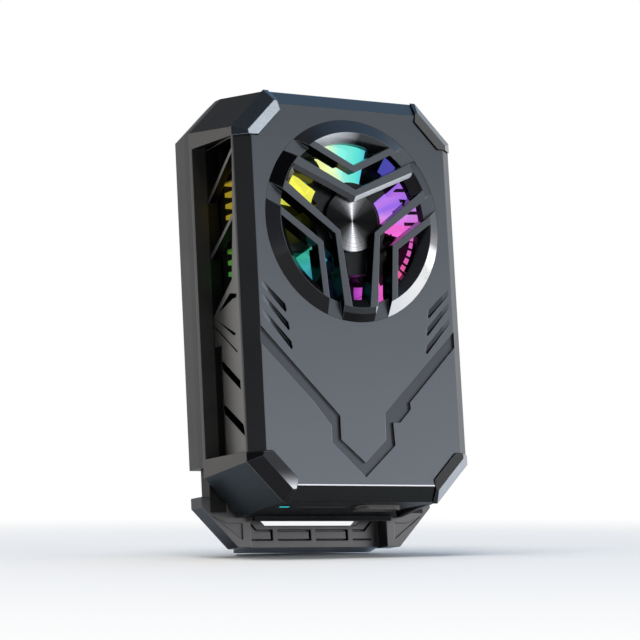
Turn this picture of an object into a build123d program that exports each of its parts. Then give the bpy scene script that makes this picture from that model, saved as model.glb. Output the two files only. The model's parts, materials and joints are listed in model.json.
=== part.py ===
from build123d import *
import math
import os

os.makedirs("parts", exist_ok=True)

# Phone cooling fan with a spring clamp. Lengths are millimetres.
# The origin is the centre of the cold face that touches the phone.
# X runs across the body, Z up towards the fixed hook, and the grille faces minus Y.
# Depths called front_of are distances in front of the cold face.

# Body
body_width = 49.2
body_height = 78.0
corner_cut = 7.4
frame_flare_side = 1.1
frame_flare_end = 1.6
wall = 1.6
overrun = 6.0
seat_gap = 0.1
slide_gap = 0.3
body_half_width = body_width / 2
body_half_height = body_height / 2
rear_half_width = body_half_width + frame_flare_side
rear_half_height = body_half_height + frame_flare_end

# Stack from the cold face to the grille
pad_thickness = 0.5
pad_stand = 1.6
rear_shell_depth = 5.7
frame_depth = 14.4
bevel_depth = 2.3
bevel_inset = 2.77
guard_rise = 1.3
rear_back = pad_stand
rear_front = rear_back + rear_shell_depth
frame_front = rear_front + frame_depth
plate_front = frame_front + bevel_depth
guard_front = plate_front + guard_rise
plate_half_width = body_half_width - bevel_inset
plate_half_height = body_half_height - bevel_inset

# Front cover
plate_thickness = 1.8
plate_corner_cut = corner_cut - bevel_inset * (2 - math.sqrt(2))
edge_break = 0.25
plate_back = plate_front - plate_thickness
nest_rim = 1.0
nest_depth = 1.4

# Fan opening and its three-armed guard
axis_below_top = 24.5
axis_height = body_half_height - axis_below_top
duct_radius = 16.3
rim_land = 0.7
ring_slope = 2.6
ring_chamfer = 1.8
guard_fit = 0.05
ring_rim_radius = duct_radius + rim_land
ring_outer_radius = ring_rim_radius + ring_slope
ring_lip_radius = ring_rim_radius - ring_chamfer
guard_depth = 3.3
guard_arms = 3
guard_back = guard_front - guard_depth
chevron_vertex = 9.1
chevron_bar = 1.3
chevron_lean_deg = 25.5
arm_rail = 1.1
rail_strip = 0.8
arm_root_radius = 5.8
arm_end_half_width = 3.0
arm_slot_over = 0.6
slot_end_radius = ring_rim_radius + arm_slot_over
guard_rim_narrow = 0.8
hub_relief_radius = 10.8
cap_relief_radius = 6.6
running_gap = 0.3

# Engraving of the front plate
band_depth = 0.5
band_shares = [
    (-1.0, -0.177), (-0.243, -0.635), (-0.245, -0.759), (-0.005, -0.880),
    (0.220, -0.762), (0.224, -0.618), (1.0, -0.171), (1.0, -0.254),
    (0.490, -0.558), (0.495, -0.593), (0.376, -0.665), (0.302, -0.665),
    (0.311, -0.787), (-0.009, -0.955), (-0.334, -0.776), (-0.334, -0.687),
    (-0.504, -0.563), (-1.0, -0.270),
]
slash_depth = 0.9
slash_width = 1.2
slash_tip_shares = [(0.965, 0.061), (0.965, -0.006), (0.965, -0.091)]
slash_end_shares = [(0.744, -0.092), (0.721, -0.188), (0.701, -0.286)]

# Corner guards
guard_line_inset = 7.8
facet_line_inset = 5.75
guard_end_drop = 9.1
guard_end_inset = 9.3
guard_end_height = body_half_height - guard_end_drop
guard_end_width = body_half_width - guard_end_inset
guard_end_lean = 0.9
corner_guard_rise = 0.3
facet_rise = 0.15
facet_drop = 0.35
corner_guard_seat = 0.5

# Side windows and the slanted vent panels
window_end_high = 9.0
window_end_low = 9.3
window_top = body_half_height - window_end_high
window_bottom = window_end_low - body_half_height
window_front_border = 0.5
web_thickness = 0.8
sink_side_gap = 0.5
sink_end_gap = 0.6
vent_thickness = 1.6
vent_rear_inset = 3.2
strut_width = 0.9
vent_groove = 0.35
vent_groove_depth = 0.5
vent_bend_share = 0.26
vent_bend_drop = 0.28
vent_bend_depth = 1.2

# Heat sink
sink_side_room = 3.3
sink_below_window = 0.4
sink_above_board = 2.6
sink_base = 3.0
fin_pitch = 2.2
fin_thickness = 0.8
fin_height = 4.7
sink_half_width = body_half_width - wall - sink_side_room
sink_top = window_top - sink_below_window

# Thermoelectric stack
module_side = 30.0
ceramic_thickness = 0.6
pellet_height = 1.2
pellet_side = 1.8
pellets_per_side = 6
cold_flange_room = 0.4
cold_flange_lip = 1.2
cold_flange_thickness = 1.0
rear_wall = 1.7
pad_margin = 0.5
pad_corner = 2.0
foam_margin = 0.2
foam_gap = 0.3

# Fan
fan_duct_length = 5.8
fan_duct_wall = 1.9
spoke_thickness = 1.2
spoke_width = 2.6
motor_base_radius = 7.4
bearing_tube_radius = 2.4
bearing_radius = 1.6
shaft_radius = 0.75
shaft_clearance = 0.04
hub_radius = 8.0
hub_wall = 0.5
hub_face = 0.8
yoke_wall = 0.5
magnet_wall = 0.8
air_gap = 0.5
blade_count = 6
blade_tip_gap = 0.5
blade_thickness = 0.9
blade_pitch_deg = 38.0
blade_height = 4.2
hub_lug_radius = 10.3
hub_lug_width = 4.2
hub_lug_height = 3.2
cap_radius = 6.0
cap_thickness = 0.8
cap_dome = 0.15
stator_poles = 6
stator_height = 3.0
pole_width = 1.6
winding_wall = 0.7
fan_board_thickness = 0.6
ear_radius = 2.1
ear_step = 1.0
ear_circle = ring_outer_radius + ear_step
fan_screw_radius = 0.8
fan_screw_head_radius = 1.5
fan_screw_head = 0.9

# Lights
light_ring_width = 1.6
light_board_thickness = 0.8
light_board_width = 2.2
light_chip_depth = 0.5
light_chip_width = 1.2
light_chips = 12

# Control board and socket
board_thickness = 0.8
board_margin = 0.6
board_height = 15.2
board_side_gap = 0.2
socket_x = 6.3
socket_front_of = 16.8
socket_width = 8.94
socket_height = 3.26
socket_length = 7.35
socket_wall = 0.35
tongue_thickness = 0.7
tongue_width = 6.7
tongue_setback = 0.6
socket_mouth_gap = 0.2
collar_height = 0.6
collar_wall = 0.45
foot_lip_height = 0.7
foot_lip_depth = 1.0
light_pipe_edge = 1.15
light_pipe_width = 2.1
light_pipe_height = 0.8
light_pipe_length = 3.0
chip_shares = [(-0.4935, 0.3896, 0.0649), (0.0, 0.2597, 0.0584), (0.8052, 0.2987, 0.1429)]
board_chip_drop = 7.2
board_post_side = 3.0
board_post_drop = 2.8
board_post_radius = 1.9
small_screw_radius = 0.8
small_screw_head_radius = 1.5
small_screw_head = 0.9

# Underside details
bottom_seam_start_share = 0.44
bottom_seam_end_share = 0.02
bottom_seam_width = 0.3
bottom_seam_depth = 0.3
bottom_recess_depth = 1.1
bottom_recess_shares = [(0.508, 0.53), (0.662, 0.105), (0.700, 0.98)]

# Case spacers and screws
spacer_radius = 2.0
spacer_side_room = 7.0
spacer_end_room = 6.0
case_screw_radius = 0.8
case_screw_head_radius = 1.5
case_screw_head = 1.0
case_screw_bite = 1.2
back_screw_side_step = 2.1
back_screw_top_room = 3.3
back_screw_low_room = 4.0
back_boss_radius = 1.9
spacer_x = body_half_width - spacer_side_room
spacer_z = body_half_height - spacer_end_room
board_low = wall + board_margin - body_half_height
board_top = board_low + board_height
board_half_width = spacer_x - spacer_radius - board_side_gap
board_post_x = board_half_width - board_post_side
board_post_z = board_top - board_post_drop
board_chip_height = board_top - board_chip_drop
light_pipe_x = light_pipe_edge - board_half_width
sink_bottom = board_top + sink_above_board
web_opening_half_width = sink_half_width + sink_side_gap
web_opening_top = sink_top + sink_end_gap
web_opening_bottom = sink_bottom - sink_end_gap
back_screw_x = spacer_x - back_screw_side_step

# Clamp
rear_bottom_room = 9.4
rear_bottom = rear_bottom_room - rear_half_height
back_screw_high = rear_half_height - back_screw_top_room
back_screw_low = rear_bottom + back_screw_low_room
rear_edge_break = 0.8
rear_side_wall = 1.2
leg_outer = rear_half_width - rear_side_wall - slide_gap
leg_width = 3.6
leg_back = 3.6
leg_front = 6.5
leg_top = 2.0
leg_rib = 1.0
stop_tab = 0.9
stop_tab_height = 1.8
stop_tab_depth = 1.4
jaw_travel = 18.0
jaw_side_stand = 0.3
jaw_gap = 5.4
jaw_cheek = 2.0
jaw_height = 9.6
jaw_foot_width = 2.9
jaw_half_width = rear_half_width + jaw_side_stand
jaw_top = rear_bottom - jaw_gap
jaw_shoulder = jaw_top - jaw_cheek
jaw_bottom = jaw_top - jaw_height
jaw_front = leg_front
jaw_back = 2.5
jaw_recess_half_width = 15.5
jaw_foot_half_width = jaw_recess_half_width + jaw_foot_width
panel_front = 3.2
panel_back = 1.0
panel_foot = 0.2
panel_overlap = 0.8
panel_below_jaw = 1.8
slot_depth = 3.35
slot_half_width = 10.4
cell_below_slot = 0.75
cell_height = 2.1
cell_side_room = 0.9
cell_edge_shares = [-1.0, -0.555, 0.038, 0.620, 1.0]
cell_gap = 1.1
cell_line_top = 0.35
cell_line_side = 0.55
cell_line_low = 0.25
cell_depth = 0.9
diagonal_share = 0.85
diagonal_rise = 1.6
triangle_margin = 1.8
triangle_inset = 2.1
triangle_depth = 0.3
lip_reach = 11.0
lip_narrowing = 7.0
lip_drop = 0.7
lip_drop_reach = 0.3
lip_end_rise = 1.3
lip_top_rise = 2.8
catch_height = 1.5
catch_thickness = 1.6
grip_thickness = 0.6
grip_half_width = 8.0
grip_edge = 0.2

# Springs of the clamp
spring_radius = 1.35
spring_wire = 0.22
spring_turns = 13
spring_top = 28.6
hook_pin_radius = 0.6

# Fixed hook
hook_half_width = 12.0
hook_under = 25.5
hook_thickness = 2.5
hook_base_top = 36.0
hook_base_thickness = 1.5
hook_screw_x = 8.0
hook_screw_z = 32.0

shapes = {}


def slab(profile, low, high):
    """Solid of a profile drawn in X and Z, between two distances in front of the cold face."""
    return extrude(Plane.XZ.offset(low) * profile, high - low, dir=(0, -1, 0))


def octagon(half_width, half_height, cut):
    """Rectangle with its four corners cut off at 45 degrees."""
    points = [
        (half_width - cut, half_height), (half_width, half_height - cut),
        (half_width, cut - half_height), (half_width - cut, -half_height),
        (cut - half_width, -half_height), (-half_width, cut - half_height),
        (-half_width, half_height - cut), (cut - half_width, half_height),
    ]
    return Polygon(*points, align=None)


def block(x_low, x_high, front_low, front_high, z_low, z_high):
    """Box between two X values, two distances in front of the cold face and two heights."""
    size = (x_high - x_low, front_high - front_low, z_high - z_low)
    centre = ((x_low + x_high) / 2, -(front_low + front_high) / 2, (z_low + z_high) / 2)
    return Pos(*centre) * Box(*size)


def block_face(x_low, x_high, z_low, z_high):
    """Upright rectangle given by its four sides."""
    return Polygon((x_low, z_low), (x_high, z_low), (x_high, z_high), (x_low, z_high), align=None)


def disc(radius, low, high, x=0, z=0):
    """Round bar along Y."""
    return slab(Pos(x, z) * Circle(radius), low, high)


def tube(outer, inner, low, high, x=0, z=0):
    """Round tube along Y."""
    return slab(Pos(x, z) * (Circle(outer) - Circle(inner)), low, high)


def about_axis(shape, angle):
    """Turn a shape about the fan's axis."""
    return Pos(0, 0, axis_height) * Rot(0, -angle, 0) * Pos(0, 0, -axis_height) * shape


def beyond(point, normal):
    """Large box on the outer side of a plane, used to cut along that plane."""
    size = body_height * 2
    plane = Plane(origin=point, z_dir=normal)
    return plane * Box(size, size, size, align=(Align.CENTER, Align.CENTER, Align.MIN))


def frame_half_at(front_of, half_front, half_rear):
    """Half size of the flared frame at a distance in front of the cold face."""
    share = (front_of - rear_front) / frame_depth
    return half_rear + (half_front - half_rear) * share


def frame_side_at(front_of):
    return frame_half_at(front_of, body_half_width, rear_half_width)


def frame_end_at(front_of):
    return frame_half_at(front_of, body_half_height, rear_half_height)


def screw(radius, head_radius, head_height, head_back, tip, x, z):
    """Screw driven from behind: its head is at head_back and its tip lies further forward."""
    body = disc(head_radius, head_back, head_back + head_height, x, z)
    body += disc(radius, head_back, tip, x, z)
    slot = block(x - head_radius, x + head_radius, head_back, head_back + head_height / 3,
                 z - radius / 3, z + radius / 3)
    return body - slot


# Fan guard

def chevron_region(shift):
    """Plan area outside one V line, with its vertex towards the hub."""
    rise = math.tan(math.radians(chevron_lean_deg))
    reach = ring_outer_radius * 2
    low = chevron_vertex + shift / math.cos(math.radians(chevron_lean_deg))
    points = [(0, low), (reach, low + reach * rise), (reach, reach * 2),
              (-reach, reach * 2), (-reach, low + reach * rise)]
    return Polygon(*points, align=None)


def arm_outline(rail, end_at, strip=0):
    """Outline of the arms, drawn in by the rail and, along the upper V, by the strip too."""
    points = []
    upper_sides = [(0, -1), (guard_arms - 1, 1)]
    for index in range(guard_arms):
        inset = rail + (strip if index == 0 else 0)
        root = arm_root_radius - inset / math.cos(math.radians(30))
        arm = math.radians(90 + 360 / guard_arms * (index + 1 / 2))
        gap = math.radians(90 + 360 / guard_arms * index)
        side = (-math.sin(arm), math.cos(arm))
        along = (math.cos(arm), math.sin(arm))
        points.append((root * math.cos(gap), root * math.sin(gap)))
        for sign in (-1, 1):
            end_half = arm_end_half_width - rail
            if (index, sign) in upper_sides:
                end_half -= strip
            points.append((along[0] * end_at + side[0] * end_half * sign,
                           along[1] * end_at + side[1] * end_half * sign))
    return Polygon(*points, align=None)


def guard_plan():
    """Plan of every bar of the guard, centred on the fan's axis."""
    reach = ring_outer_radius + overrun
    slots = arm_outline(arm_rail, slot_end_radius, rail_strip)
    plan = arm_outline(0, reach) - (Circle(ring_lip_radius) & slots)
    for index in range(guard_arms):
        turn = 360 / guard_arms * index
        bars = Circle(reach) & chevron_region(0)
        hole = Circle(ring_lip_radius) & chevron_region(chevron_bar)
        plan += Rot(0, 0, turn) * (bars - hole)
    return plan


def guard_mouths():
    """Chamfered front ends of the guard's openings, ready to be cut away."""
    far = guard_front + overrun
    chamfer_back = guard_front - ring_chamfer
    section = Polygon(
        (0, -chamfer_back), (ring_lip_radius, -chamfer_back),
        (ring_rim_radius, -guard_front), (ring_rim_radius + overrun, -far), (0, -far), align=None)
    cone = Pos(0, 0, axis_height) * revolve(section, Axis.Y)
    mouths = arm_outline(arm_rail, slot_end_radius, rail_strip)
    for index in range(guard_arms):
        hole = Circle(slot_end_radius) & chevron_region(chevron_bar)
        mouths += Rot(0, 0, 360 / guard_arms * index) * hole
    cuts = cone & slab(Pos(0, axis_height) * mouths, chamfer_back - overrun, far)
    narrow = Plane.XZ.offset(guard_front - rail_strip) * (
        Pos(0, axis_height) * arm_outline(arm_rail, slot_end_radius, rail_strip))
    wide = Plane.XZ.offset(guard_front) * (
        Pos(0, axis_height) * arm_outline(arm_rail, slot_end_radius))
    return cuts + (cone & loft([narrow, wide], ruled=True))


def guard_shield():
    """Turned disc with a sloping rim that limits the height of the guard."""
    outer = ring_outer_radius - guard_fit
    section = Polygon(
        (0, -guard_back), (duct_radius - guard_rim_narrow, -guard_back),
        (duct_radius, -plate_back), (outer, -plate_back),
        (outer, -plate_front), (ring_rim_radius, -guard_front),
        (0, -guard_front), align=None)
    return Pos(0, 0, axis_height) * revolve(section, Axis.Y)


def fan_guard():
    """Ring with the raised arcs, the V bars and the arms, set in the front cover."""
    plan = Pos(0, axis_height) * guard_plan()
    guard = guard_shield() & slab(plan, guard_back - overrun, guard_front + overrun)
    hub_relief = plate_front - bevel_depth / 2 + running_gap
    guard -= disc(hub_relief_radius, guard_back - overrun, hub_relief, 0, axis_height)
    cap_relief = plate_front - seat_gap
    guard -= disc(cap_relief_radius, guard_back - overrun, cap_relief, 0, axis_height)
    guard -= guard_mouths()
    return guard + tube(ring_outer_radius - guard_fit, duct_radius, plate_back, plate_front,
                        0, axis_height)


# Front cover

def bevelled_block(grow, deeper):
    """The bevelled block of the front cover, grown outwards or kept smaller."""
    cut = corner_cut + grow * (2 - math.sqrt(2))
    front_cut = plate_corner_cut + grow * (2 - math.sqrt(2))
    base = octagon(body_half_width + grow, body_half_height + grow, cut)
    back = Plane.XZ.offset(frame_front) * base
    front = Plane.XZ.offset(plate_front + grow) * octagon(
        plate_half_width + grow, plate_half_height + grow, front_cut)
    whole = loft([back, front])
    if deeper > 0:
        whole += slab(base, frame_front - deeper, frame_front)
    return whole


def corner_zone(x_sign, z_sign, grow):
    """Plan outline of the corner that one guard covers."""
    line = body_half_width + body_half_height - guard_line_inset - bevel_inset * 2 - grow
    end_z = guard_end_height - grow
    end_x = guard_end_width - grow
    far = body_half_height + overrun
    points = [(line - end_z, end_z), (end_x, line - end_x),
              (end_x + guard_end_lean, body_half_height), (end_x + guard_end_lean, far),
              (far, far), (far, end_z)]
    return Polygon(*[(x * x_sign, z * z_sign) for x, z in points], align=None)


def corner_guard(x_sign, z_sign):
    """Raised guard that wraps one corner of the front cover."""
    zone = slab(corner_zone(x_sign, z_sign, 0), frame_front, guard_front + overrun)
    piece = bevelled_block(corner_guard_rise, 0) & zone
    piece -= bevelled_block(-corner_guard_seat, overrun)
    line = plate_half_width + plate_half_height - guard_line_inset + facet_rise
    point = (x_sign * (line - plate_half_height), -(plate_front + corner_guard_rise),
             z_sign * plate_half_height)
    lean = facet_line_inset - facet_drop
    normal = (x_sign * facet_drop, -lean / 2, z_sign * facet_drop)
    return piece - beyond(point, normal)


def band_cut():
    """Shallow V-shaped band below the fan."""
    points = [(x * plate_half_width, z * plate_half_height) for x, z in band_shares]
    return slab(Polygon(*points, align=None), plate_front - band_depth, plate_front + overrun)


def slash_cuts(x_sign):
    """Three slanted pockets that deepen towards the middle of the plate."""
    cuts = []
    for tip, end in zip(slash_tip_shares, slash_end_shares):
        x1 = tip[0] * plate_half_width
        z1 = tip[1] * plate_half_height
        x2 = end[0] * plate_half_width
        z2 = end[1] * plate_half_height
        points = [(x1, z1), (x2, z2 + slash_width), (x2 - slash_width / 4, z2),
                  (x2, z2 - slash_width / 3), (x1, z1 - slash_width)]
        outline = Polygon(*[(x * x_sign, z) for x, z in points], align=None)
        pocket = slab(outline, plate_front - slash_depth, plate_front + overrun)
        normal = (-x_sign * slash_depth, -(x1 - x2), 0)
        cuts.append(pocket & beyond((x2 * x_sign, -(plate_front - slash_depth), z2), normal))
    return cuts


front_cover = bevelled_block(0, 0)
inner_cut = max(plate_corner_cut - wall / 2, edge_break)
hollow = slab(octagon(plate_half_width - wall, plate_half_height - wall, inner_cut),
              frame_front, plate_back)
front_cover -= hollow
nest = slab(octagon(body_half_width - wall - seat_gap, body_half_height - wall - seat_gap,
                    corner_cut - wall / 2), frame_front - nest_depth, frame_front)
nest -= slab(octagon(body_half_width - wall - nest_rim, body_half_height - wall - nest_rim,
                     corner_cut - wall), frame_front - nest_depth, frame_front)
front_cover += nest
for x_sign in (-1, 1):
    front_cover -= block(x_sign * body_half_width - overrun, x_sign * body_half_width + overrun,
                         frame_front - nest_depth, frame_front,
                         window_bottom - wall, window_top + wall)
for x_sign in (-1, 1):
    for z_sign in (-1, 1):
        pocket = slab(corner_zone(x_sign, z_sign, seat_gap), frame_front, guard_front + overrun)
        pocket -= bevelled_block(-corner_guard_seat, overrun)
        front_cover -= pocket
front_cover -= band_cut()
for x_sign in (-1, 1):
    for cut in slash_cuts(x_sign):
        front_cover -= cut
for x_sign in (-1, 1):
    for z_sign in (-1, 1):
        front_cover += disc(spacer_radius, rear_front + web_thickness, plate_back,
                            x_sign * spacer_x, z_sign * spacer_z)
        front_cover -= disc(case_screw_radius, rear_front, plate_back - wall,
                            x_sign * spacer_x, z_sign * spacer_z)
front_cover -= disc(ring_outer_radius, guard_back - overrun, guard_front + overrun,
                    0, axis_height)
shapes["front_cover"] = front_cover
shapes["fan_guard"] = fan_guard()
corner_names = {(-1, 1): "top_left", (1, 1): "top_right",
                (-1, -1): "bottom_left", (1, -1): "bottom_right"}
for signs, name in corner_names.items():
    shapes["corner_guard_" + name] = corner_guard(*signs)


# Middle frame

def frame_block(inset, low, high):
    """Flared block between two distances in front of the cold face."""
    faces = []
    for front_of in (low, high):
        outline = octagon(frame_side_at(front_of) - inset, frame_end_at(front_of) - inset,
                          corner_cut - inset * (2 - math.sqrt(2)))
        faces.append(Plane.XZ.offset(front_of) * outline)
    return loft(faces)


web_front = rear_front + web_thickness
frame_bottom = -frame_end_at(socket_front_of)


def stadium_along_z(width, height, z_low, z_high, x, front_of):
    """Upright bar with a stadium section, as used by the charging socket."""
    outline = Pos(x, -front_of, z_low) * SlotOverall(width, height)
    return extrude(outline, z_high - z_low, dir=(0, 0, 1))


middle_frame = frame_block(0, rear_front, frame_front)
middle_frame -= frame_block(wall, web_front, frame_front)
middle_frame -= block(-web_opening_half_width, web_opening_half_width,
                      rear_front - overrun, web_front + overrun,
                      web_opening_bottom, web_opening_top)
for x_sign in (-1, 1):
    outer = x_sign * (rear_half_width + overrun)
    inner = x_sign * (web_opening_half_width + seat_gap)
    middle_frame -= block(min(outer, inner), max(outer, inner), web_front,
                          frame_front - window_front_border, window_bottom, window_top)
socket_hole_gap = socket_mouth_gap
collar_bottom = frame_bottom - collar_height
middle_frame += stadium_along_z(socket_width + 2 * socket_hole_gap + 2 * collar_wall,
                                socket_height + 2 * socket_hole_gap + 2 * collar_wall,
                                collar_bottom, frame_bottom + wall / 2,
                                socket_x, socket_front_of)
middle_frame -= stadium_along_z(socket_width + 2 * socket_hole_gap,
                                socket_height + 2 * socket_hole_gap,
                                collar_bottom - overrun, frame_bottom + wall + overrun / 3,
                                socket_x, socket_front_of)
middle_frame += block(-jaw_recess_half_width, jaw_recess_half_width, rear_front,
                      rear_front + foot_lip_depth, -rear_half_height - foot_lip_height,
                      wall - rear_half_height)
pipe_half_width = light_pipe_width / 2
pipe_half_height = light_pipe_height / 2
middle_frame -= block(light_pipe_x - pipe_half_width, light_pipe_x + pipe_half_width,
                      socket_front_of - pipe_half_height, socket_front_of + pipe_half_height,
                      frame_bottom - overrun, frame_bottom + wall + overrun / 3)
seam_low = -bottom_seam_start_share * body_half_width
seam_high = -bottom_seam_end_share * body_half_width
middle_frame -= block(seam_low, seam_high, socket_front_of - bottom_seam_width / 2,
                      socket_front_of + bottom_seam_width / 2,
                      frame_bottom - overrun, frame_bottom + bottom_seam_depth)
recess_points = []
for across, along in bottom_recess_shares:
    recess_points.append((across * body_half_width, -(frame_front - along * frame_depth)))
recess_face = Pos(0, 0, -rear_half_height - overrun) * Polygon(*recess_points, align=None)
recess = extrude(recess_face, rear_half_height, dir=(0, 0, 1))
middle_frame -= recess - frame_block(bottom_recess_depth, rear_front, frame_front)
for x_sign in (-1, 1):
    for z_sign in (-1, 1):
        x = x_sign * spacer_x
        z = z_sign * spacer_z
        middle_frame -= disc(case_screw_radius + seat_gap, rear_front - overrun,
                             web_front + overrun, x, z)
        middle_frame -= disc(case_screw_head_radius + seat_gap, rear_front - overrun,
                             rear_front + web_thickness / 4, x, z)
post_top = socket_front_of - socket_height / 2 - board_thickness
for x_sign in (-1, 1):
    x = x_sign * board_post_x
    middle_frame += disc(board_post_radius, rear_front + web_thickness / 2, post_top,
                         x, board_post_z)
    middle_frame -= disc(small_screw_radius, web_front + wall, post_top + overrun,
                         x, board_post_z)
boss_front = web_front + 2 * case_screw_bite
for x_sign in (-1, 1):
    for z in (back_screw_high, back_screw_low):
        x = x_sign * back_screw_x
        middle_frame += disc(back_boss_radius, rear_front, boss_front, x, z)
        middle_frame -= disc(case_screw_radius, rear_front - overrun,
                             boss_front - web_thickness, x, z)
shapes["middle_frame"] = middle_frame

# Slanted vent panels

vent_opening_share = [(0.02, 0.993), (0.07, 0.717), (0.15, 0.407), (0.257, 0.103),
                      (1.0, -0.08), (1.02, 0.993)]
vent_strut_share = [((0.0, 0.925), (1.02, 0.66)), ((0.08, 0.503), (1.02, 0.297))]
vent_slot_share = [
    [(0.36, 0.023), (0.11, 0.003), (0.11, -0.02), (0.25, -0.017), (0.88, -0.077)],
    [(0.9, -0.11), (0.19, -0.243), (0.27, -0.25)],
    [(1.02, -0.367), (0.7, -0.39), (0.118, -0.543), (0.11, -0.6)],
    [(1.02, -0.647), (0.69, -0.667), (0.074, -0.82), (0.022, -0.897)],
]
vent_groove_share = ((1.02, -0.137), (0.17, -0.36))
vent_front = frame_front - window_front_border
vent_span = vent_front - web_front


def vent_prism(points, x_low, x_high):
    """Prism across the side wall, drawn with shares along the depth and the height."""
    face = Polygon(*[(-(vent_front - along * vent_span), up * window_top)
                     for along, up in points], align=None)
    upright = Plane(origin=(x_low, 0, 0), x_dir=(0, 1, 0), z_dir=(1, 0, 0)) * face
    return extrude(upright, x_high - x_low, dir=(1, 0, 0))


def bar_points(ends, width):
    """Outline of a thin straight bar between two points given as shares."""
    (along1, up1), (along2, up2) = ends
    half = width / 2 / window_top
    return [(along1, up1 + half), (along2, up2 + half), (along2, up2 - half),
            (along1, up1 - half)]


def side_vent():
    """Vent panel of the left side: it leans inwards towards the back."""
    outer_front = -frame_side_at(vent_front) + edge_break
    outer_rear = -frame_side_at(web_front) + vent_rear_inset
    inner = -web_opening_half_width - seat_gap
    section = Polygon(
        (outer_front, -vent_front), (outer_front + vent_thickness, -vent_front),
        (outer_rear + vent_thickness, -web_front), (outer_rear, -web_front), align=None)
    panel = extrude(Pos(0, 0, window_bottom) * section, window_top - window_bottom,
                    dir=(0, 0, 1))
    opening = vent_prism(vent_opening_share, outer_front - overrun, inner + overrun)
    for ends in vent_strut_share:
        opening -= vent_prism(bar_points(ends, strut_width), outer_front - overrun,
                              inner + overrun)
    panel -= opening
    for points in vent_slot_share:
        panel -= vent_prism(points, outer_front - overrun, inner + overrun)
    groove = vent_prism(bar_points(vent_groove_share, vent_groove),
                        outer_front - overrun, inner + overrun)
    below_surface = Pos(vent_groove_depth, 0, 0) * panel
    panel -= groove - below_surface
    bend_front = vent_front - (1 - vent_bend_share) * vent_span
    lean = (outer_rear - outer_front) / vent_span
    bend_x = outer_front + lean * (vent_front - bend_front)
    bend = Polygon(
        (bend_x, -bend_front), (outer_rear + vent_bend_depth, -web_front),
        (outer_front - overrun, -web_front), (outer_front - overrun, -bend_front), align=None)
    bend_height = -vent_bend_drop * window_top
    panel -= extrude(Pos(0, 0, window_bottom) * bend, bend_height - window_bottom,
                     dir=(0, 0, 1))
    return panel


shapes["side_vent_left"] = side_vent()
shapes["side_vent_right"] = mirror(side_vent(), Plane.YZ)

# Rear cover

def rear_block(inset, low, high):
    """Tapered octagon block of the rear cover, cut off above the clamp's jaw."""
    taper = rear_edge_break * (1 - (low - rear_back) / rear_shell_depth)
    cut = corner_cut - inset * (2 - math.sqrt(2))
    bend = rear_front - rear_shell_depth / 3
    full = slab(octagon(rear_half_width - inset, rear_half_height - inset, cut),
                min(bend, high), high)
    if low < bend:
        back = Plane.XZ.offset(low) * octagon(
            rear_half_width - inset - taper / 4, rear_half_height - inset - taper, cut)
        front = Plane.XZ.offset(bend) * octagon(
            rear_half_width - inset, rear_half_height - inset, cut)
        full = full + loft([back, front])
    side = rear_half_width + overrun
    keep = block(-side, side, low, high, rear_bottom + inset, rear_half_height + overrun)
    return full & keep


back_wall_front = rear_back + rear_wall
rear_cover = rear_block(0, rear_back, rear_front)
rear_cover -= rear_block(rear_side_wall, back_wall_front, rear_front)
leg_inner = leg_outer - leg_width
flange_half = leg_inner - leg_rib - cold_flange_room
plate_half = flange_half - cold_flange_lip
window_half = plate_half + seat_gap
rear_cover -= block(-window_half, window_half, rear_back - overrun, rear_front + overrun,
                    -window_half, window_half)
for x_sign in (-1, 1):
    low = min(x_sign * leg_outer, x_sign * leg_inner) - slide_gap / 2
    high = max(x_sign * leg_outer, x_sign * leg_inner) + slide_gap / 2
    rear_cover -= block(low, high, back_wall_front, rear_front + overrun,
                        rear_bottom - overrun, rear_bottom + 2 * rear_side_wall)
    rail_low = min(x_sign * (leg_inner - slide_gap / 2), x_sign * (leg_inner - leg_rib))
    rail_high = max(x_sign * (leg_inner - slide_gap / 2), x_sign * (leg_inner - leg_rib))
    tab_bottom = leg_top - stop_tab_height
    rear_cover += block(rail_low, rail_high, back_wall_front, leg_front,
                        rear_bottom + rear_side_wall / 2,
                        tab_bottom - jaw_travel - slide_gap)
    rear_cover += block(rail_low, rail_high, back_wall_front, leg_front,
                        leg_top + slide_gap, leg_top + slide_gap + stop_tab_height)
    pin_x = x_sign * (leg_inner + leg_width / 2)
    pin_z = spring_top + hook_pin_radius
    rear_cover += disc(hook_pin_radius, back_wall_front, leg_front, pin_x, pin_z)
for x_sign in (-1, 1):
    for z in (back_screw_high, back_screw_low):
        x = x_sign * back_screw_x
        rear_cover += disc(back_boss_radius, back_wall_front, rear_front, x, z)
        rear_cover -= disc(case_screw_radius + seat_gap, rear_back - overrun,
                           rear_front + overrun, x, z)
        rear_cover -= disc(case_screw_head_radius + seat_gap, rear_back - overrun,
                           rear_back + case_screw_head + seat_gap, x, z)
for x_sign in (-1, 1):
    rear_cover -= disc(small_screw_radius + seat_gap, rear_back - overrun,
                       rear_front + overrun, x_sign * hook_screw_x, hook_screw_z)
shapes["rear_cover"] = rear_cover

# Thermoelectric stack

flange_back = back_wall_front
flange_front = flange_back + cold_flange_thickness
cold_ceramic = flange_front + ceramic_thickness
pellet_front = cold_ceramic + pellet_height
hot_ceramic = pellet_front + ceramic_thickness
module_half = module_side / 2
pad_side = 2 * (plate_half - pad_margin)
pad_outline = RectangleRounded(pad_side, pad_side, pad_corner)
shapes["thermal_pad"] = slab(pad_outline, 0, pad_thickness)
cold_plate = block(-plate_half, plate_half, pad_thickness, flange_front, -plate_half, plate_half)
cold_plate += block(-flange_half, flange_half, flange_back, flange_front,
                    -flange_half, flange_half)
shapes["cold_plate"] = cold_plate
shapes["peltier_cold_ceramic"] = block(-module_half, module_half, flange_front, cold_ceramic,
                                       -module_half, module_half)
shapes["peltier_hot_ceramic"] = block(-module_half, module_half, pellet_front, hot_ceramic,
                                      -module_half, module_half)
pellets = []
pellet_pitch = module_side / pellets_per_side
pellet_half = pellet_side / 2
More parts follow.
